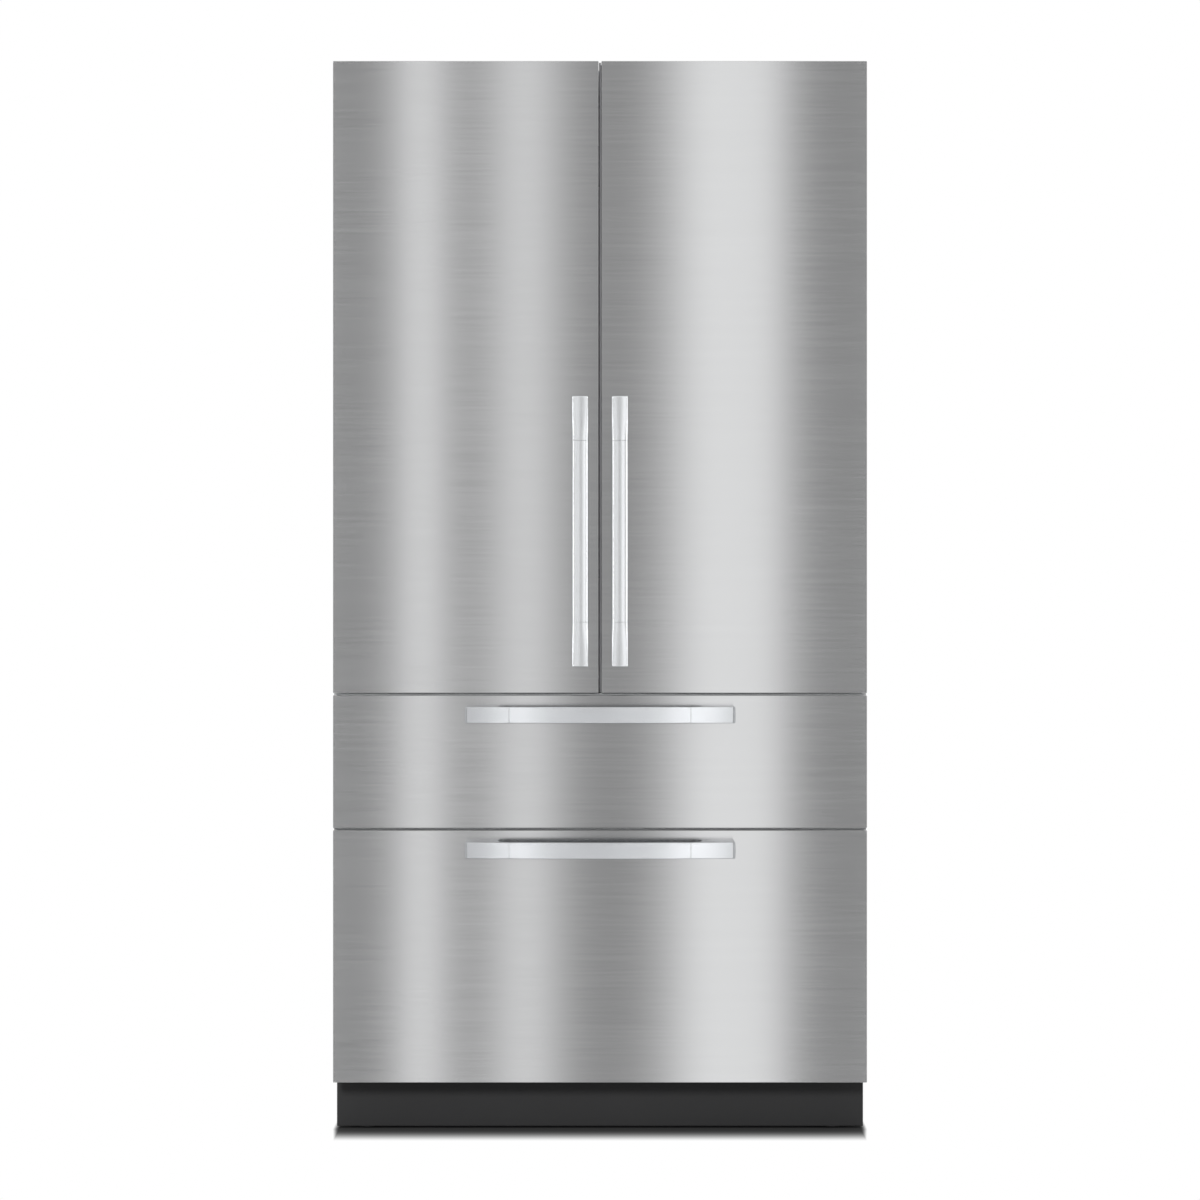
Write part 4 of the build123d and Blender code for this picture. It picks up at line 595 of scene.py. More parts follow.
def handlePieces(name, node, body, middle, upright):
    # Bow: radius = (half^2 + bow^2) / (2 bow), y = centre - sqrt(radius^2 - x^2), and the same centre for
    # the inner face, with a radius less by the bar's depth; middle gives x and z of the handle
    h = handleShape
    half, seam, chamfer = h["length"] / 2, h["barLength"] / 2, h["seamChamfer"]
    bowRadius = (half**2 + h["bow"] ** 2) / (2 * h["bow"])
    centreY = bowRadius - h["reach"]
    crown = h["uprightCrown"] if upright else h["crown"]

    def arc(x, depth=0.0):
        # The bow at x, as deep in the bar as asked
        return centreY - np.sqrt((bowRadius - depth) ** 2 - x**2)

    def settle(local):
        # Local x runs along the handle, y is depth, z is across; an upright handle turns x up
        x, y, z = local[..., 0], local[..., 1] + h["planeY"], local[..., 2]
        level, climb = (z, x) if upright else (x, z)
        return np.stack([level + middle[0], y, climb + middle[1]], axis=-1)

    def build(pieceName, outer, inner, sign, stands):
        # One closed piece between the two lines, mirrored where sign is -1
        section = ribbonSection(outer * [sign, 1], inner * [sign, 1], h["width"], h["edgeRound"], crown)
        form = closedForm(settle(section), *section.shape[:2])
        piece = newPiece(pieceName, form, "handle_metal", body, stands, 40)
        if upright:
            piece.data.materials[0] = uprightSteelPaintedLighter

    # Bar between the seams, with a fine chamfer at each end
    x = np.concatenate([[-seam], np.linspace(-seam + chamfer, seam - chamfer, 61), [seam]])
    pull = np.zeros((len(x), 2))
    pull[[0, -1], 1] = chamfer
    outer = np.stack([x, arc(x)], axis=-1) + pull
    inner = np.stack([x, arc(x, h["barDepth"])], axis=-1) - pull
    build(name + "Bar", outer, inner, 1, (node,))

    # Foot: the outer line follows the bow, rounds the end and drops to the panel; the inner line curves
    # to the root
    root, r, e = seam + h["seamGap"], h["footCurve"], h["endRound"]
    x = np.concatenate([[root], np.linspace(root + chamfer, half - e, 24)])
    endY = arc(half)
    a = np.radians(np.linspace(0, 90, 7))[1:]
    bend = np.stack([half - e + e * np.sin(a), endY + e * (1 - np.cos(a))], axis=-1)
    fallY = np.linspace(endY + e, 0.0, 13)[1:]
    drop = np.stack([np.full(len(fallY), half), fallY], axis=-1)
    outer = np.concatenate([np.stack([x, arc(x)], axis=-1), bend, drop])
    b = np.radians(np.linspace(0, 90, 22))
    curve = np.stack([root + r * np.sin(b), arc(root, h["barDepth"]) + r * (1 - np.cos(b))], axis=-1)
    neck, foot = curve[-1], np.array([root + r + h["footTaper"], 0.0])
    fall = np.linspace(0, 1, len(outer) - len(curve) + 1)[1:, None]
    inner = np.concatenate([curve, neck + fall * (foot - neck)])
    outer[0, 1] += chamfer
    inner[0, 1] -= chamfer
    for tag, sign in (("FootA", -1), ("FootB", 1)):
        build(name + tag, outer, inner, sign, ())


x0, x1, y0, y1, z0, z1 = inMillimetres(*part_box("left_door_handle"))
for side, sign in (("left", 1), ("right", -1)):
    spot = (sign * (x0 + x1) / 2, (z0 + z1) / 2)
    handlePieces(side + "DoorHandle", side + "_door_handle", side + "_door", spot, True)
for level in ("upper", "lower"):
    z0, z1 = inMillimetres(*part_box(level + "_drawer_handle"))[4:]
    spot = (0.0, (z0 + z1) / 2)
    handlePieces(level + "DrawerHandle", level + "_drawer_handle", level + "_drawer", spot, False)
print("handles made")

gasketShape = {
    "depth": 11.7,
    "profile": (
        (2.5, 0.0), (3.4, 1.6), (2.6, 3.2), (1.0, 4.2), (0.0, 5.6), (0.0, 6.6), (1.4, 7.2), (1.4, 7.8),
        (0.2, 8.6), (0.2, 9.8), (1.2, 11.2), (2.6, 11.7), (11.4, 11.7), (12.8, 11.2), (13.8, 9.8),
        (13.8, 8.6), (12.6, 7.8), (12.6, 7.2), (14.0, 6.6), (14.0, 5.6), (13.0, 4.2), (11.4, 3.2),
        (10.6, 1.6), (11.5, 0.0),
    ),
}


def gasketRing(name, node, body):
    # Bellows section (inset t, depth d) carried round the mitred rectangle: corner + t inwards, y = back
    # + d
    x0, x1, y0, y1, z0, z1 = inMillimetres(*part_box(node))
    t, d = np.array(gasketShape["profile"]).T
    corners = np.array([[x0, z0, 1, 1], [x1, z0, -1, 1], [x1, z1, -1, -1], [x0, z1, 1, -1]])
    x = corners[:, 0:1] + corners[:, 2:3] * t
    z = corners[:, 1:2] + corners[:, 3:4] * t
    y = np.broadcast_to(y0 + d * ((y1 - y0) / gasketShape["depth"]), x.shape)
    points = np.stack([x, y, z], axis=-1).reshape(-1, 3)
    newPiece(name, (points, list(gridFaces(4, len(t), wrapRows=True))), "gasket_grey", body, (node,), 40)


for side in ("left", "right"):
    gasketRing(side + "DoorSeal", side + "_door_gasket", side + "_door")
for level in ("upper", "lower"):
    gasketRing(level + "DrawerSeal", level + "_drawer_gasket", level + "_drawer")
print("seals made")

edgeRounding = {
    "cabinet_wrapper": 0.8, "foam_insulation": 2.0, "face_rails": 0.6, "fridge_liner": 3.0,
    "drawer_liners": 3.0, "base_frame": 0.6, "hinge_brackets": 0.5, "rear_rollers": 1.6,
    "left_door_body": 1.0, "right_door_body": 1.0, "left_door_liner": 2.0, "right_door_liner": 2.0,
    "left_door_bins": 0.9, "right_door_bins": 0.9, "flip_mullion": 0.7, "upper_drawer_front": 1.2,
    "lower_drawer_front": 1.2, "upper_drawer_frame": 0.4, "lower_drawer_frame": 0.4,
    "upper_drawer_bin": 1.0, "freezer_bin": 1.0, "freezer_tray": 1.0, "slide_outer_members": 0.4,
    "upper_slide_middles": 0.4, "lower_slide_middles": 0.4, "crisper_left": 0.9, "crisper_right": 0.9,
    "shelf_frames": 0.5, "shelf_glass": 0.4, "shelf_tracks": 0.3, "fridge_air_cover": 0.9,
    "fridge_evaporator": 0.3, "fridge_fan": 0.5, "freezer_air_cover": 0.9, "freezer_evaporator": 0.3,
    "freezer_fan": 0.5, "compressor": 2.0, "condenser": 0.3, "condenser_fan": 0.5, "drain_pan": 1.0,
    "machine_cover": 0.4, "water_valve": 0.6, "power_inlet": 0.4, "light_bars": 0.6, "control_panel": 0.8,
}
# How far faces before frontFrom and behind rearFrom (y in metres) are moved in, as front and rear in
# millimetres: the rear for what stands on it, the foam also to stay behind the liners' rims
setIn = {"foam_insulation": (8.0, 1.9), "cabinet_wrapper": (0.0, 2.6), "machine_cover": (0.0, 1.0)}
frontFrom, rearFrom = -0.1895, 0.3335
creaseAngle, flatWithin = math.radians(32), math.radians(0.4)


def mergedSolids(source):
    # Points at one spot become one, but only within a solid: triangles are of one solid where just two
    # share an edge, and each takes the lowest number among its neighbours until nothing changes
    data = source.data
    points = np.empty(3 * len(data.vertices))
    data.vertices.foreach_get("co", points)
    corners = np.empty(len(data.loops), int)
    data.loops.foreach_get("vertex_index", corners)
    spots, spotOf = np.unique(np.round(points.reshape(-1, 3), 6), axis=0, return_inverse=True)
    triangles = spotOf.reshape(-1)[corners].reshape(-1, 3)
    triangles = triangles[(triangles != np.roll(triangles, 1, axis=1)).all(axis=1)]
    ends = np.sort(np.stack([triangles, np.roll(triangles, -1, axis=1)], axis=-1).reshape(-1, 2), axis=1)
    owner = np.repeat(np.arange(len(triangles)), 3)
    edgeOf, uses = np.unique(ends, axis=0, return_inverse=True, return_counts=True)[1:]
    edgeOf = edgeOf.reshape(-1)
    order = np.argsort(edgeOf, kind="stable")
    plain = order[uses[edgeOf[order]] == 2].reshape(-1, 2)
    first, second = owner[plain].T
    solid = np.arange(len(triangles))
    while (solid[first] != solid[second]).any():
        lowest = np.minimum(solid[first], solid[second])
        np.minimum.at(solid, first, lowest)
        np.minimum.at(solid, second, lowest)
    pairs = np.stack([triangles.reshape(-1), np.repeat(solid, 3)], axis=-1)
    kept, faces = np.unique(pairs, axis=0, return_inverse=True)
    mesh = bpy.data.meshes.new(source.name + "Merged")
    mesh.from_pydata(spots[kept[:, 0]], [], faces.reshape(-1, 3).tolist())
    mesh.transform(source.matrix_world)
    return mesh


def dressed(nodeName, width):
    # A copy of the node, its doubled points merged and flat triangles joined, smooth over turns, with
    # rounded edges
    source = frame["nodes"][nodeName]
    mesh = mergedSolids(source)
    first, *others = nodeName.split("_")
    name = mesh.name = first + "".join(word.capitalize() for word in others)
    work = bmesh.new()
    work.from_mesh(mesh)
    bmesh.ops.join_triangles(
        work, faces=work.faces, angle_face_threshold=flatWithin, angle_shape_threshold=math.pi
    )
    front, rear = setIn.get(nodeName, (0.0, 0.0))
    for vert in work.verts:
        if vert.co.y > rearFrom:
            vert.co.y -= rear * mm
        elif vert.co.y < frontFrom:
            vert.co.y += front * mm
    work.to_mesh(mesh)
    work.free()
    mesh.polygons.foreach_set("use_smooth", [True] * len(mesh.polygons))
    mesh.set_sharp_from_angle(angle=creaseAngle)
    mesh.materials.append(finishes[nodeSlots[nodeName]])
    piece = bpy.data.objects.new(name, mesh)
    scene.collection.objects.link(piece)
    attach(piece, source.parent.name.split(":")[1])
    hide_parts(nodeName)
    soft = piece.modifiers.new("edges", "BEVEL")
    soft.width = width * mm
    soft.segments = 2
    soft.limit_method = "ANGLE"
    soft.angle_limit = creaseAngle
    flatten(piece)


for nodeName, width in edgeRounding.items():
    dressed(nodeName, width)
print("dressed nodes:", len(edgeRounding))

toeShape = {
    "sheet": 1.4,
    "bend": 2.2,
    "lip": 9.0,
    "bottomLip": 12.0,
    "endRun": (0.0, 0.4, 1.2),  # at these distances from each end the sheet stands back by endBack
    "endBack": (0.9, 0.25, 0.0),
    "cheek": (1.4, 2.7),  # the plate across each end, from and to
    "cheekInset": (1.6, 1.8),
    "cheekEdge": 0.5,
}


def toeKick():
    # Folded sheet: a C section with two round bends carried along x, its ends turned back a little, and
    # two cheeks
    x0, x1, y0, y1, z0, z1 = inMillimetres(*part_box("toe_kick"))
    s = toeShape
    a = np.radians(np.linspace(0, 90, 6))

    def sectionLine(depth):
        # The C at a depth in the sheet: each bend is a quarter turn of radius bend - depth
        sine, cosine = (s["bend"] - depth) * (1 - np.sin(a)), (s["bend"] - depth) * (1 - np.cos(a))
        y = np.concatenate([[y0 + s["lip"]], y0 + depth + sine, y0 + depth + cosine, [y0 + s["bottomLip"]]])
        z = np.concatenate([[z1 - depth], z1 - depth - cosine, z0 + depth + sine, [z0 + depth]])
        return np.stack([y, z])

    ringY, ringZ = np.hstack([sectionLine(0.0), sectionLine(s["sheet"])[:, ::-1]])
    run, back = np.array(s["endRun"]), np.array(s["endBack"])
    xs = np.concatenate([x0 + run, x1 - run[::-1]])[:, None]
    back = np.concatenate([back, back[::-1]])[:, None]
    points = np.stack([xs + 0 * ringY, ringY + back, ringZ + 0 * xs], axis=-1)
    near, far = s["cheek"]
    insetY, insetZ = s["cheekInset"]
    ends = [
        boxForm(start, stop, y0 + insetY, y1, z0 + insetZ, z1 - insetZ, s["cheekEdge"])
        for start, stop in ((x0 + near, x0 + far), (x1 - far, x1 - near))
    ]
    sheet = closedForm(points, len(xs), len(ringY))
    newPiece("toeKickSheet", joined([sheet, *ends]), "charcoal", "cabinet", ("toe_kick",), 30)


toeKick()

gapStrip = {
    "drawers": {"upper_drawer": (875.5, 878.5), "lower_drawer": (607.5, 610.5)},  # own rim, edge above it
    "drawerHalf": 529.2,
    "nearY": -266.5,
    "backY": -252.9,
    "rootY": -254.8,
    "overRim": 0.1,
    "clear": 0.3,
    "root": 8.0,
    "hookShort": 4.0,
    "hookClear": 1.2,
    "edge": 0.5,
    "doorY": -263.0,
    "doorLip": (-1.7, 1.9),
    "doorLipZ": (880.2, 2133.2),
    "doorHook": (0.8, 10.0),
    "doorHookZ": (884.0, 2130.0),
}


def gapStrips():
    # Soft lip in the gap behind a panel edge, hooked over the rim of its own pan, with a hair of room to
    # the neighbour
    g = gapStrip
    for body, (rim, edge) in g["drawers"].items():
        half, shortHalf = g["drawerHalf"], g["drawerHalf"] - g["hookShort"]
        top, hookTop = edge - g["clear"], edge - g["hookClear"]
        lip = boxForm(-half, half, g["nearY"], g["backY"], rim + g["overRim"], top, g["edge"])
        hook = boxForm(-shortHalf, shortHalf, g["rootY"], g["backY"], rim - g["root"], hookTop, g["edge"])
        newPiece(body.replace("_d", "D") + "GapStrip", joined([lip, hook]), "cabinet_steel", body)
    lip = boxForm(*g["doorLip"], g["doorY"], g["backY"], *g["doorLipZ"], g["edge"])
    hook = boxForm(*g["doorHook"], g["rootY"], g["backY"], *g["doorHookZ"], g["edge"])
    newPiece("rightDoorGapStrip", joined([lip, hook]), "gasket_grey", "right_door")


gapStrips()
print("toe kick and gap strips made")

hingeFixings = {
    "screw": 3.6,
    "flangeY": -195.0,
    "screwX": (489.0, 505.0),
    "screwZ": (2124.6, 875.4),
    "pivot": (512, -235, 2118.0),
    "nut": 6.5,
    "nutTall": 5.0,
}


def hingeScrews():
    # Pan heads on the bracket flanges and a capped nut over each top pivot, mirrored about x = 0
    h = hingeFixings
    x, y, z = h["pivot"]
    sides = (-1, 1)
    spots = [(s * u, h["flangeY"], v) for s in sides for u in h["screwX"] for v in h["screwZ"]]
    forms = [screwForm(spot, "y", -1, h["screw"]) for spot in spots]
    forms += [hexForm((s * x, y, z), "z", 1, h["nut"], h["nutTall"]) for s in sides]
    newPiece("hingeScrews", joined(forms), "zinc_steel", "cabinet")


hingeScrews()

# Profiles are pairs of radius and height
footShape = {
    "x": 470.0,
    "y": -160.0,
    "pad": (
        (18.5, 0.0), (21.3, 0.5), (22.0, 1.6), (22.0, 5.2),
        (21.2, 7.4), (19.0, 8.8), (14.6, 9.6), (12.0, 10.0),
    ),
    "hexagon": ((13.4, 10.0), (15.0, 11.2), (15.0, 18.8), (13.4, 20.0)),
    "stud": 8.0,
    "studZ": (20.0, 62.0),
    "pitch": 1.75,
    "threadDepth": 0.9,
}


def levellingFoot(side, sign):
    # Turned plastic pad, hexagon and stud with a rolled thread, all on one upright axis
    f = footShape
    x, y = sign * f["x"], f["y"]
    low, high = f["studZ"]
    pad = turnedForm((x, y, 0), "z", f["pad"], 40)
    newPiece(side + "FootPad", pad, "black_plastic", side + "_leg", ("levelling_leg_" + side,))
    hexagon = turnedForm((x, y, 0), "z", f["hexagon"], 6)
    stud = threadForm((x, y, low), "z", f["stud"], f["threadDepth"], f["pitch"], high - low, 20)
    newPiece(side + "FootStud", joined([hexagon, stud]), "zinc_steel", side + "_leg")


levellingFoot("left", -1)
levellingFoot("right", 1)
print("feet made")

rearShape = {
    "half": 528.4,
    "low": 290.6,
    "high": 2130.4,
    "face": 333.4,
    "sheet": 0.7,
    "beads": (-396.0, -264.0, -132.0, 0.0, 132.0, 264.0, 396.0),
    "beadHalf": 17.0,
    "shoulder": 3.0,
    "rise": 1.5,
    "fadeLow": 400.0,
    "fadeHigh": 2020.0,
    "fade": 9.0,
    "rows": (1000.0, 1500.0),
}


def rearSheet():
    # y = face + rise * product of two smooth steps e^2 (3 - 2e): one up each shoulder of a flat-topped
    # bead, one at its ends
    r = rearShape
    ramp = np.linspace(0, r["shoulder"], 5)
    local = np.concatenate([ramp - r["beadHalf"], r["beadHalf"] - ramp[::-1]])
    xs = np.unique(np.concatenate([[-r["half"], r["half"]], *[b + local for b in r["beads"]]]))
    steps = np.linspace(0, r["fade"], 6)
    zs = np.concatenate(
        [[r["low"]], r["fadeLow"] + steps, r["rows"], r["fadeHigh"] - steps[::-1], [r["high"]]]
    )
    x, z = np.meshgrid(xs, zs)
    climb = sum(np.clip((r["beadHalf"] - np.abs(x - b)) / r["shoulder"], 0, 1) for b in r["beads"])
    ease = np.clip(np.minimum(z - r["fadeLow"], r["fadeHigh"] - z) / r["fade"], 0, 1)
    y = r["face"] + r["rise"] * climb**2 * (3 - 2 * climb) * ease**2 * (3 - 2 * ease)
    points = np.stack([x, y, z], axis=-1).reshape(-1, 3)
    count = len(points)
    front = gridFaces(*x.shape, wrapColumns=False)
    index = np.arange(count).reshape(x.shape)
    rim = np.concatenate([index[0, :-1], index[:-1, -1], index[-1, :0:-1], index[:0:-1, 0]])
    nextRim = np.roll(rim, -1)
    wall = np.stack([rim, nextRim, nextRim + count, rim + count], axis=-1)
    form = (np.vstack([points, points - [0, r["sheet"], 0]]), [*front, *(front[:, ::-1] + count), *wall])
    flatten(newPiece("rearSheet", form, "zinc_steel", "cabinet", (), 40))


# Profiles are pairs of radius and height over the base
rearFixings = {
    "sideX": 519.0,
    "sideZ": (330, 2090, 9),  # from, to, how many
    "topX": (-450, 450, 7),
    "topZ": 2121.0,
    "baseY": 333.3,
    "head": ((5.2, 0), (5.2, 0.4), (3.4, 0.6), (3.2, 1.5), (1.6, 1.55), (1.4, 0.9)),
    "coverX": (100.0, 370.0, 506.0),
    "coverZ": (60.0, 282.0),
    "coverY": 333.9,
    "coverHead": ((4.6, 0), (4.6, 0.4), (3.6, 0.6), (3.4, 0.95), (1.6, 0.98), (1.4, 0.5)),
}


def rearScrews():
    # Flanged screws round the rear sheet, and six-sided ones on the machine cover
    r = rearFixings
    spots = [(s * r["sideX"], z) for s in (-1, 1) for z in np.linspace(*r["sideZ"])]
    spots += [(x, r["topZ"]) for x in np.linspace(*r["topX"])]
    forms = [turnedForm((x, r["baseY"], z), "y", r["head"], 14) for x, z in spots]
    cover = [(s * x, z) for s in (-1, 1) for x in r["coverX"] for z in r["coverZ"]]
    forms += [turnedForm((x, r["coverY"], z), "y", r["coverHead"], 6) for x, z in cover]
    newPiece("rearScrews", joined(forms), "zinc_steel", "cabinet")


rearSheet()
rearScrews()

inletShape = {
    "centre": (-440.0, 321.2, 120.0),
    "crest": 14.0,
    "threadDepth": 0.75,
    "pitch": 2.3,
    "threadLength": 13.4,
    "lip": ((13.9, 13.2), (12.4, 13.7), (8.6, 13.7), (8.3, 13.2), (8.2, 2.0)),  # radius and height
}


def waterInlet():
    # Threaded sleeve over the stub, and a lip that turns down into its bore
    i = inletShape
    sleeve = threadForm(i["centre"], "y", i["crest"], i["threadDepth"], i["pitch"], i["threadLength"], 36)
    lip = turnedForm(i["centre"], "y", i["lip"], 36)
    newPiece("waterInletThread", joined([sleeve, lip]), "zinc_steel", "cabinet")


waterInlet()
print("rear made")

rimShape = {"radius": 1.75, "wall": 2.5, "corner": 16.0, "start": 2.0, "straight": 8.0, "sunk": 0.6}
doorBins = {
    "heights": (130.0, 105.0, 90.0),
    "left": (1215.0, 1500.0, 1785.0),
    "right": (1180.0, 1465.0, 1750.0),
    "span": (91.0, 435.0),
    "depth": (-199.5, -104.0),
}


def binRim(x0, x1, y0, y1, z):
    # Rounded bead along the top of three sides of a bin: straight runs joined by quarter turns
    s = rimShape
    t = s["wall"] / 2
    q = s["corner"] - t
    x0, x1, y0, y1 = x0 + t, x1 - t, y0 + s["start"], y1 - t
    a = np.radians(np.linspace(0, 90, 9))
    across, along = q * (1 - np.cos(a)), y1 - q * (1 - np.sin(a))
    first = np.stack([x0 + across, along], axis=-1)
    second = np.stack([x1 - across, along], axis=-1)[::-1]
    straightY = y1 - q - s["straight"]
    path = np.vstack([[x0, y0], [x0, straightY], first, second, [x1, straightY], [x1, y0]])
    return tubeForm(np.column_stack([path, np.full(len(path), z)]), s["radius"], (0, 0, 1), 10)


for side, sign in (("left", -1), ("right", 1)):
    x0, x1 = sorted(sign * x for x in doorBins["span"])
    tops = [z + tall - rimShape["sunk"] for z, tall in zip(doorBins[side], doorBins["heights"])]
    rims = [binRim(x0, x1, *doorBins["depth"], top) for top in tops]
    newPiece(side + "BinRims", joined(rims), "clear_bin", side + "_door")
print("bin rims made")

panelMarks = {
    "z": 2077.92,
    "y": -82.0,
    "spots": (-80.0, -48.0, -16.0, 16.0, 48.0, 80.0),
    "crossed": (-48.0, 48.0),
    "ring": 6.5,
    "line": 0.45,
    "dash": 2.6,
    "tall": 0.16,
    "edge": 0.12,
    "barStep": 3.0,
    "barHalf": 0.9,
    "barY": (12.0, 14.0),
    "bars": 5,
}


def controlMarks():
    # Plain touch marks under the ceiling panel: a ring with a dash for each spot, a cross stroke on two
    # of them, and a row of bars, each a millimetre longer than the last
    m = panelMarks
    turn = np.linspace(0, 2 * np.pi, 32, endpoint=False)

    def stroke(x0, x1, y0, y1):
        return boxForm(x0, x1, m["y"] + y0, m["y"] + y1, m["z"] - m["tall"], m["z"] + m["tall"], m["edge"])

    forms = []
    for x in m["spots"]:
        ring = aroundAxis((x, m["y"], m["z"]), "z", m["ring"], turn, 0.0)
        forms.append(tubeForm(ring, m["line"], (0, 0, 1), 6, True))
        forms.append(stroke(x - m["dash"], x + m["dash"], -m["line"], m["line"]))
    for x in m["crossed"]:
        forms.append(stroke(x - m["line"], x + m["line"], -m["dash"], m["dash"]))
    for step in range(m["bars"]):
        x = m["barStep"] * (step - (m["bars"] - 1) / 2)
        forms.append(stroke(x - m["barHalf"], x + m["barHalf"], m["barY"][0], m["barY"][1] + step))
    newPiece("controlMarks", joined(forms), "light_diffuser", "cabinet")


controlMarks()

# Each line: its corners, its radius, and the direction its section is held to
pipeRuns = {
    "toCondenser": (
        [
            (-262, 240, 190), (-240, 240, 215), (-215, 240, 222), (-120, 245, 222),
            (20, 250, 222), (70, 250, 205), (100, 250, 180),
        ],
        3.2,
        (0.12, 0.2, 0.97),
    ),
    "toCoils": (
        [(-330, 205, 205), (-330, 195, 235), (-345, 185, 255), (-360, 175, 268), (-360, 165, 284)],
        3.2,
        (1, 0.1, 0),
    ),
    "filling": (
        [(-300, 300, 150), (-280, 310, 120), (-240, 312, 100), (-225, 312, 92)],
        2.6,
        (0.12, 0.2, 0.97),
    ),
}


def machinePipes():
    # Copper lines of the compressor: tubes along corner-cut paths, from its stubs to the condenser and
    # the coils
    forms = [tubeForm(easedPath(corners), radius, upward, 12) for corners, radius, upward in pipeRuns.values()]
    piece = newPiece("machinePipes", joined(forms), "zinc_steel", "cabinet")
    piece.data.materials.clear()
    piece.data.materials.append(mouldedOrPainted("copperPipe", paintLook["copper"]))


machinePipes()
print("machine pipes made")

studio = {
    # Strips of light, each an azimuth and a width in degrees and a brightness
    "bands": ((-3.85, 0.54, 1.17), (-1.61, 0.78, 0.95), (2.34, 0.96, 1.09), (3.57, 0.56, 0.85)),
    "handleBands": ((8.1, 0.85, 3.6), (-8.0, 0.85, 4.6), (11.3, 1.7, 1.9), (-13.4, 1.6, 0.7)),
    "between": 0.415,
    "fold": 15.0,
    "high": 0.9,
    "low": 0.3,
    "capFrom": 0.55,
    "capOver": 0.3,
    "skyLight": 0.65,
    "floorHalf": 6.0,
    "floorSteps": 9,
    # The floor keys from here set a contact shadow painted into the floor's colour: its darkest tone, the pale
    # tone, and the painted shadow's reach round the footprint
    "floorDark": 0.05,
    "floorShade": 0.86,
    "shadeFront": -0.205,
    "shadeSide": 0.524,
    "shadeRear": 0.325,
    "shadeAhead": 0.12,
    "shadeAside": 0.014,
    "shadeSlant": 0.11,
    "shadePower": 3.0,
    "keyPlace": (-1.35, -5.4, 2.6),
    "keySize": 1.2,
    "keyPower": 340.0,
}


def studioWorld():
    # Brightness over azimuth a: base plus a bell exp(-((a - centre)/width)^2) for each strip light, the
    # first set folded every 15 degrees; overhead and below it passes to an even tone. Only glossy rays
    # see it
    world = bpy.data.worlds.new("studio")
    scene.world = world
    f = Finish("studio", world)
    way = f.put("ShaderNodeTexCoord", out="Generated")
    split = f.put("ShaderNodeSeparateXYZ", out=None, Vector=way)
    x, y, z = (Value(f.tree, socket) for socket in split.outputs)
    azimuth = x.join("ARCTAN2", x, y * -1.0) * (180 / math.pi)
    folded = (azimuth + studio["fold"]).apply("PINGPONG", 2 * studio["fold"]) - studio["fold"]
    glow = folded * 0.0 + studio["between"]
    for angle, strips in ((folded, studio["bands"]), (azimuth, studio["handleBands"])):
        for centre, width, level in strips:
            bell = (((angle - centre) / width).apply("POWER", 2.0) * -1.0).apply("EXPONENT")
            glow = glow + bell * level
    cap = (z.apply("ABSOLUTE") - studio["capFrom"]) / studio["capOver"]
    share = cap.apply("MAXIMUM", 0.0).apply("MINIMUM", 1.0)
    capTone = z.apply("GREATER_THAN", 0.0) * (studio["high"] - studio["low"]) + studio["low"]
    seen = glow * (1.0 - share) + share * capTone
    rays = f.put("ShaderNodeLightPath", out=None)
    glossy = Value(f.tree, rays.outputs["Is Glossy Ray"])
    camera = Value(f.tree, rays.outputs["Is Camera Ray"])
    level = seen * glossy + (1.0 - glossy) * studio["skyLight"]
    level = level * (1.0 - camera) + camera
    back = f.put("ShaderNodeBackground", out=None, Color=(1.0, 1.0, 1.0), Strength=level)
    f.put("ShaderNodeOutputWorld", out=None, Surface=back.outputs[0])


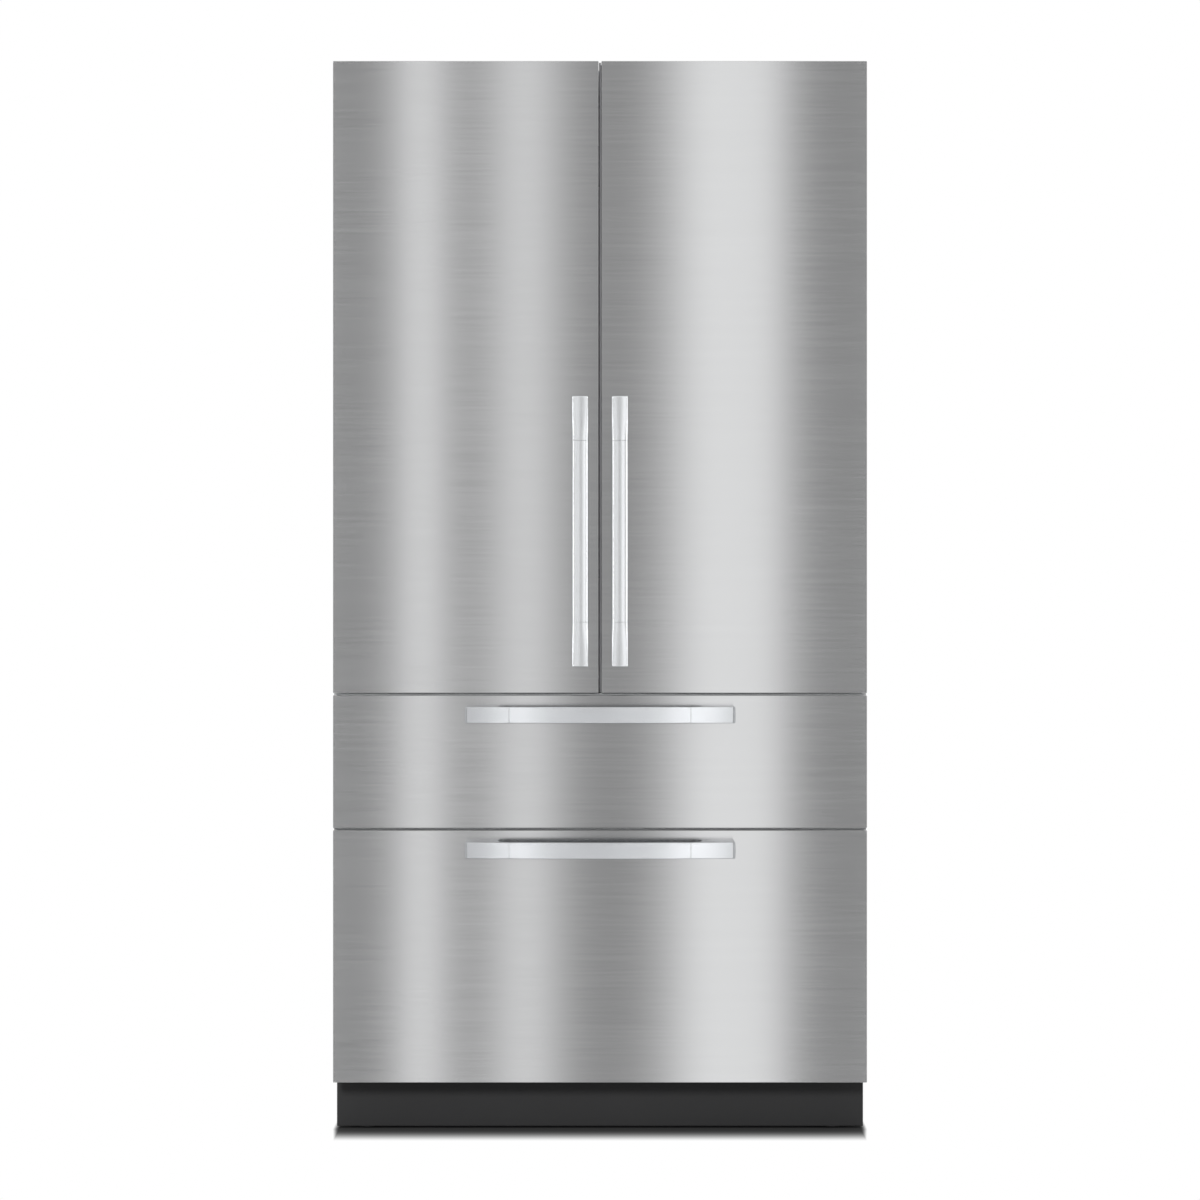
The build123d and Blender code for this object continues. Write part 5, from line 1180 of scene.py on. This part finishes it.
def paleFloor():
    # Flat sheet: glowing white away from the object, matt where it stands and just around it, with a painted
    # shadow: the matt colour darkens towards the footprint. The distance past the footprint, over the reach of
    # the painted shadow on that side, gives the share of white, by its power
    line = np.linspace(-studio["floorHalf"], studio["floorHalf"], studio["floorSteps"])
    u, v = np.meshgrid(line, line)
    points = np.stack([u, v, np.zeros_like(u)], axis=-1).reshape(-1, 3)
    mesh = bpy.data.meshes.new("studioFloor")
    mesh.from_pydata(points.tolist(), [], gridFaces(*u.shape, wrapColumns=False).tolist())
    mesh.update()
    floor = bpy.data.objects.new("studioFloor", mesh)
    scene.collection.objects.link(floor)
    f = Finish("floorPaper")
    split = f.put("ShaderNodeSeparateXYZ", out=None, Vector=f.put("ShaderNodeTexCoord", out="Object"))
    x = Value(f.tree, split.outputs[0])
    y = Value(f.tree, split.outputs[1])
    room = y * -1.0 + studio["shadeFront"]
    ahead = room / studio["shadeAhead"]
    slant = room.apply("MAXIMUM", 0.0) * studio["shadeSlant"]  # ahead of the object the shade widens less
    aside = (x.apply("ABSOLUTE") - studio["shadeSide"] + slant) / studio["shadeAside"]
    behind = (y - studio["shadeRear"]) / studio["shadeAside"]
    away = aside.apply("MAXIMUM", ahead).apply("MAXIMUM", behind)
    share = away.apply("MAXIMUM", 0.0).apply("MINIMUM", 1.0) ** studio["shadePower"]
    # Painted contact shadow: the floor's colour runs from near black at the footprint to the pale tone away
    # from it
    paintedShade = f.tint(share, (studio["floorDark"],) * 3, (studio["floorShade"],) * 3)
    matt = f.put("ShaderNodeBsdfDiffuse", out=None, Color=paintedShade)
    glow = f.put("ShaderNodeEmission", out=None, Color=(1.0, 1.0, 1.0), Strength=1.0)
    paper = f.put("ShaderNodeMixShader", out=None, i0=share, i1=matt.outputs[0], i2=glow.outputs[0])
    under = f.put("ShaderNodeNewGeometry", out="Backfacing")  # open from below, for views of the underside
    clear = f.put("ShaderNodeBsdfTransparent", out=None)
    sheet = f.put("ShaderNodeMixShader", out=None, i0=under, i1=paper.outputs[0], i2=clear.outputs[0])
    f.put("ShaderNodeOutputMaterial", out=None, Surface=sheet.outputs[0])
    mesh.materials.append(f.material)
    floor.visible_glossy = False


cameraPlan = {"height": 1.064, "distance": 5.3, "lens": 80.1, "sensor": 36.0, "frontY": -0.275, "seesTo": 60.0}


def studioCamera():
    # Level and straight on, at its distance from the fronts
    c = cameraPlan
    data = bpy.data.cameras.new("frontCamera")
    data.lens = c["lens"]
    data.sensor_width = c["sensor"]
    data.clip_end = c["seesTo"]
    camera = bpy.data.objects.new("frontCamera", data)
    camera.location = (0.0, c["frontY"] - c["distance"], c["height"])
    camera.rotation_euler = (math.radians(90), 0.0, 0.0)
    scene.collection.objects.link(camera)
    scene.camera = camera


def softKey():
    # One soft lamp ahead and a little left, turned to the origin by the arc tangents of its place, and
    # low enough to let the drawer front shade the toe kick
    data = bpy.data.lights.new("softKey", "AREA")
    data.shape = "DISK"
    data.size = studio["keySize"]
    data.energy = studio["keyPower"]
    lamp = bpy.data.objects.new("softKey", data)
    lamp.location = studio["keyPlace"]
    x, y, z = studio["keyPlace"]
    lamp.rotation_euler = (math.atan2(math.hypot(x, y), z), 0.0, math.atan2(x, -y))
    lamp.visible_glossy = False
    scene.collection.objects.link(lamp)


studioWorld()
paleFloor()
studioCamera()
softKey()
scene.view_settings.view_transform = "Standard"
print("studio made")
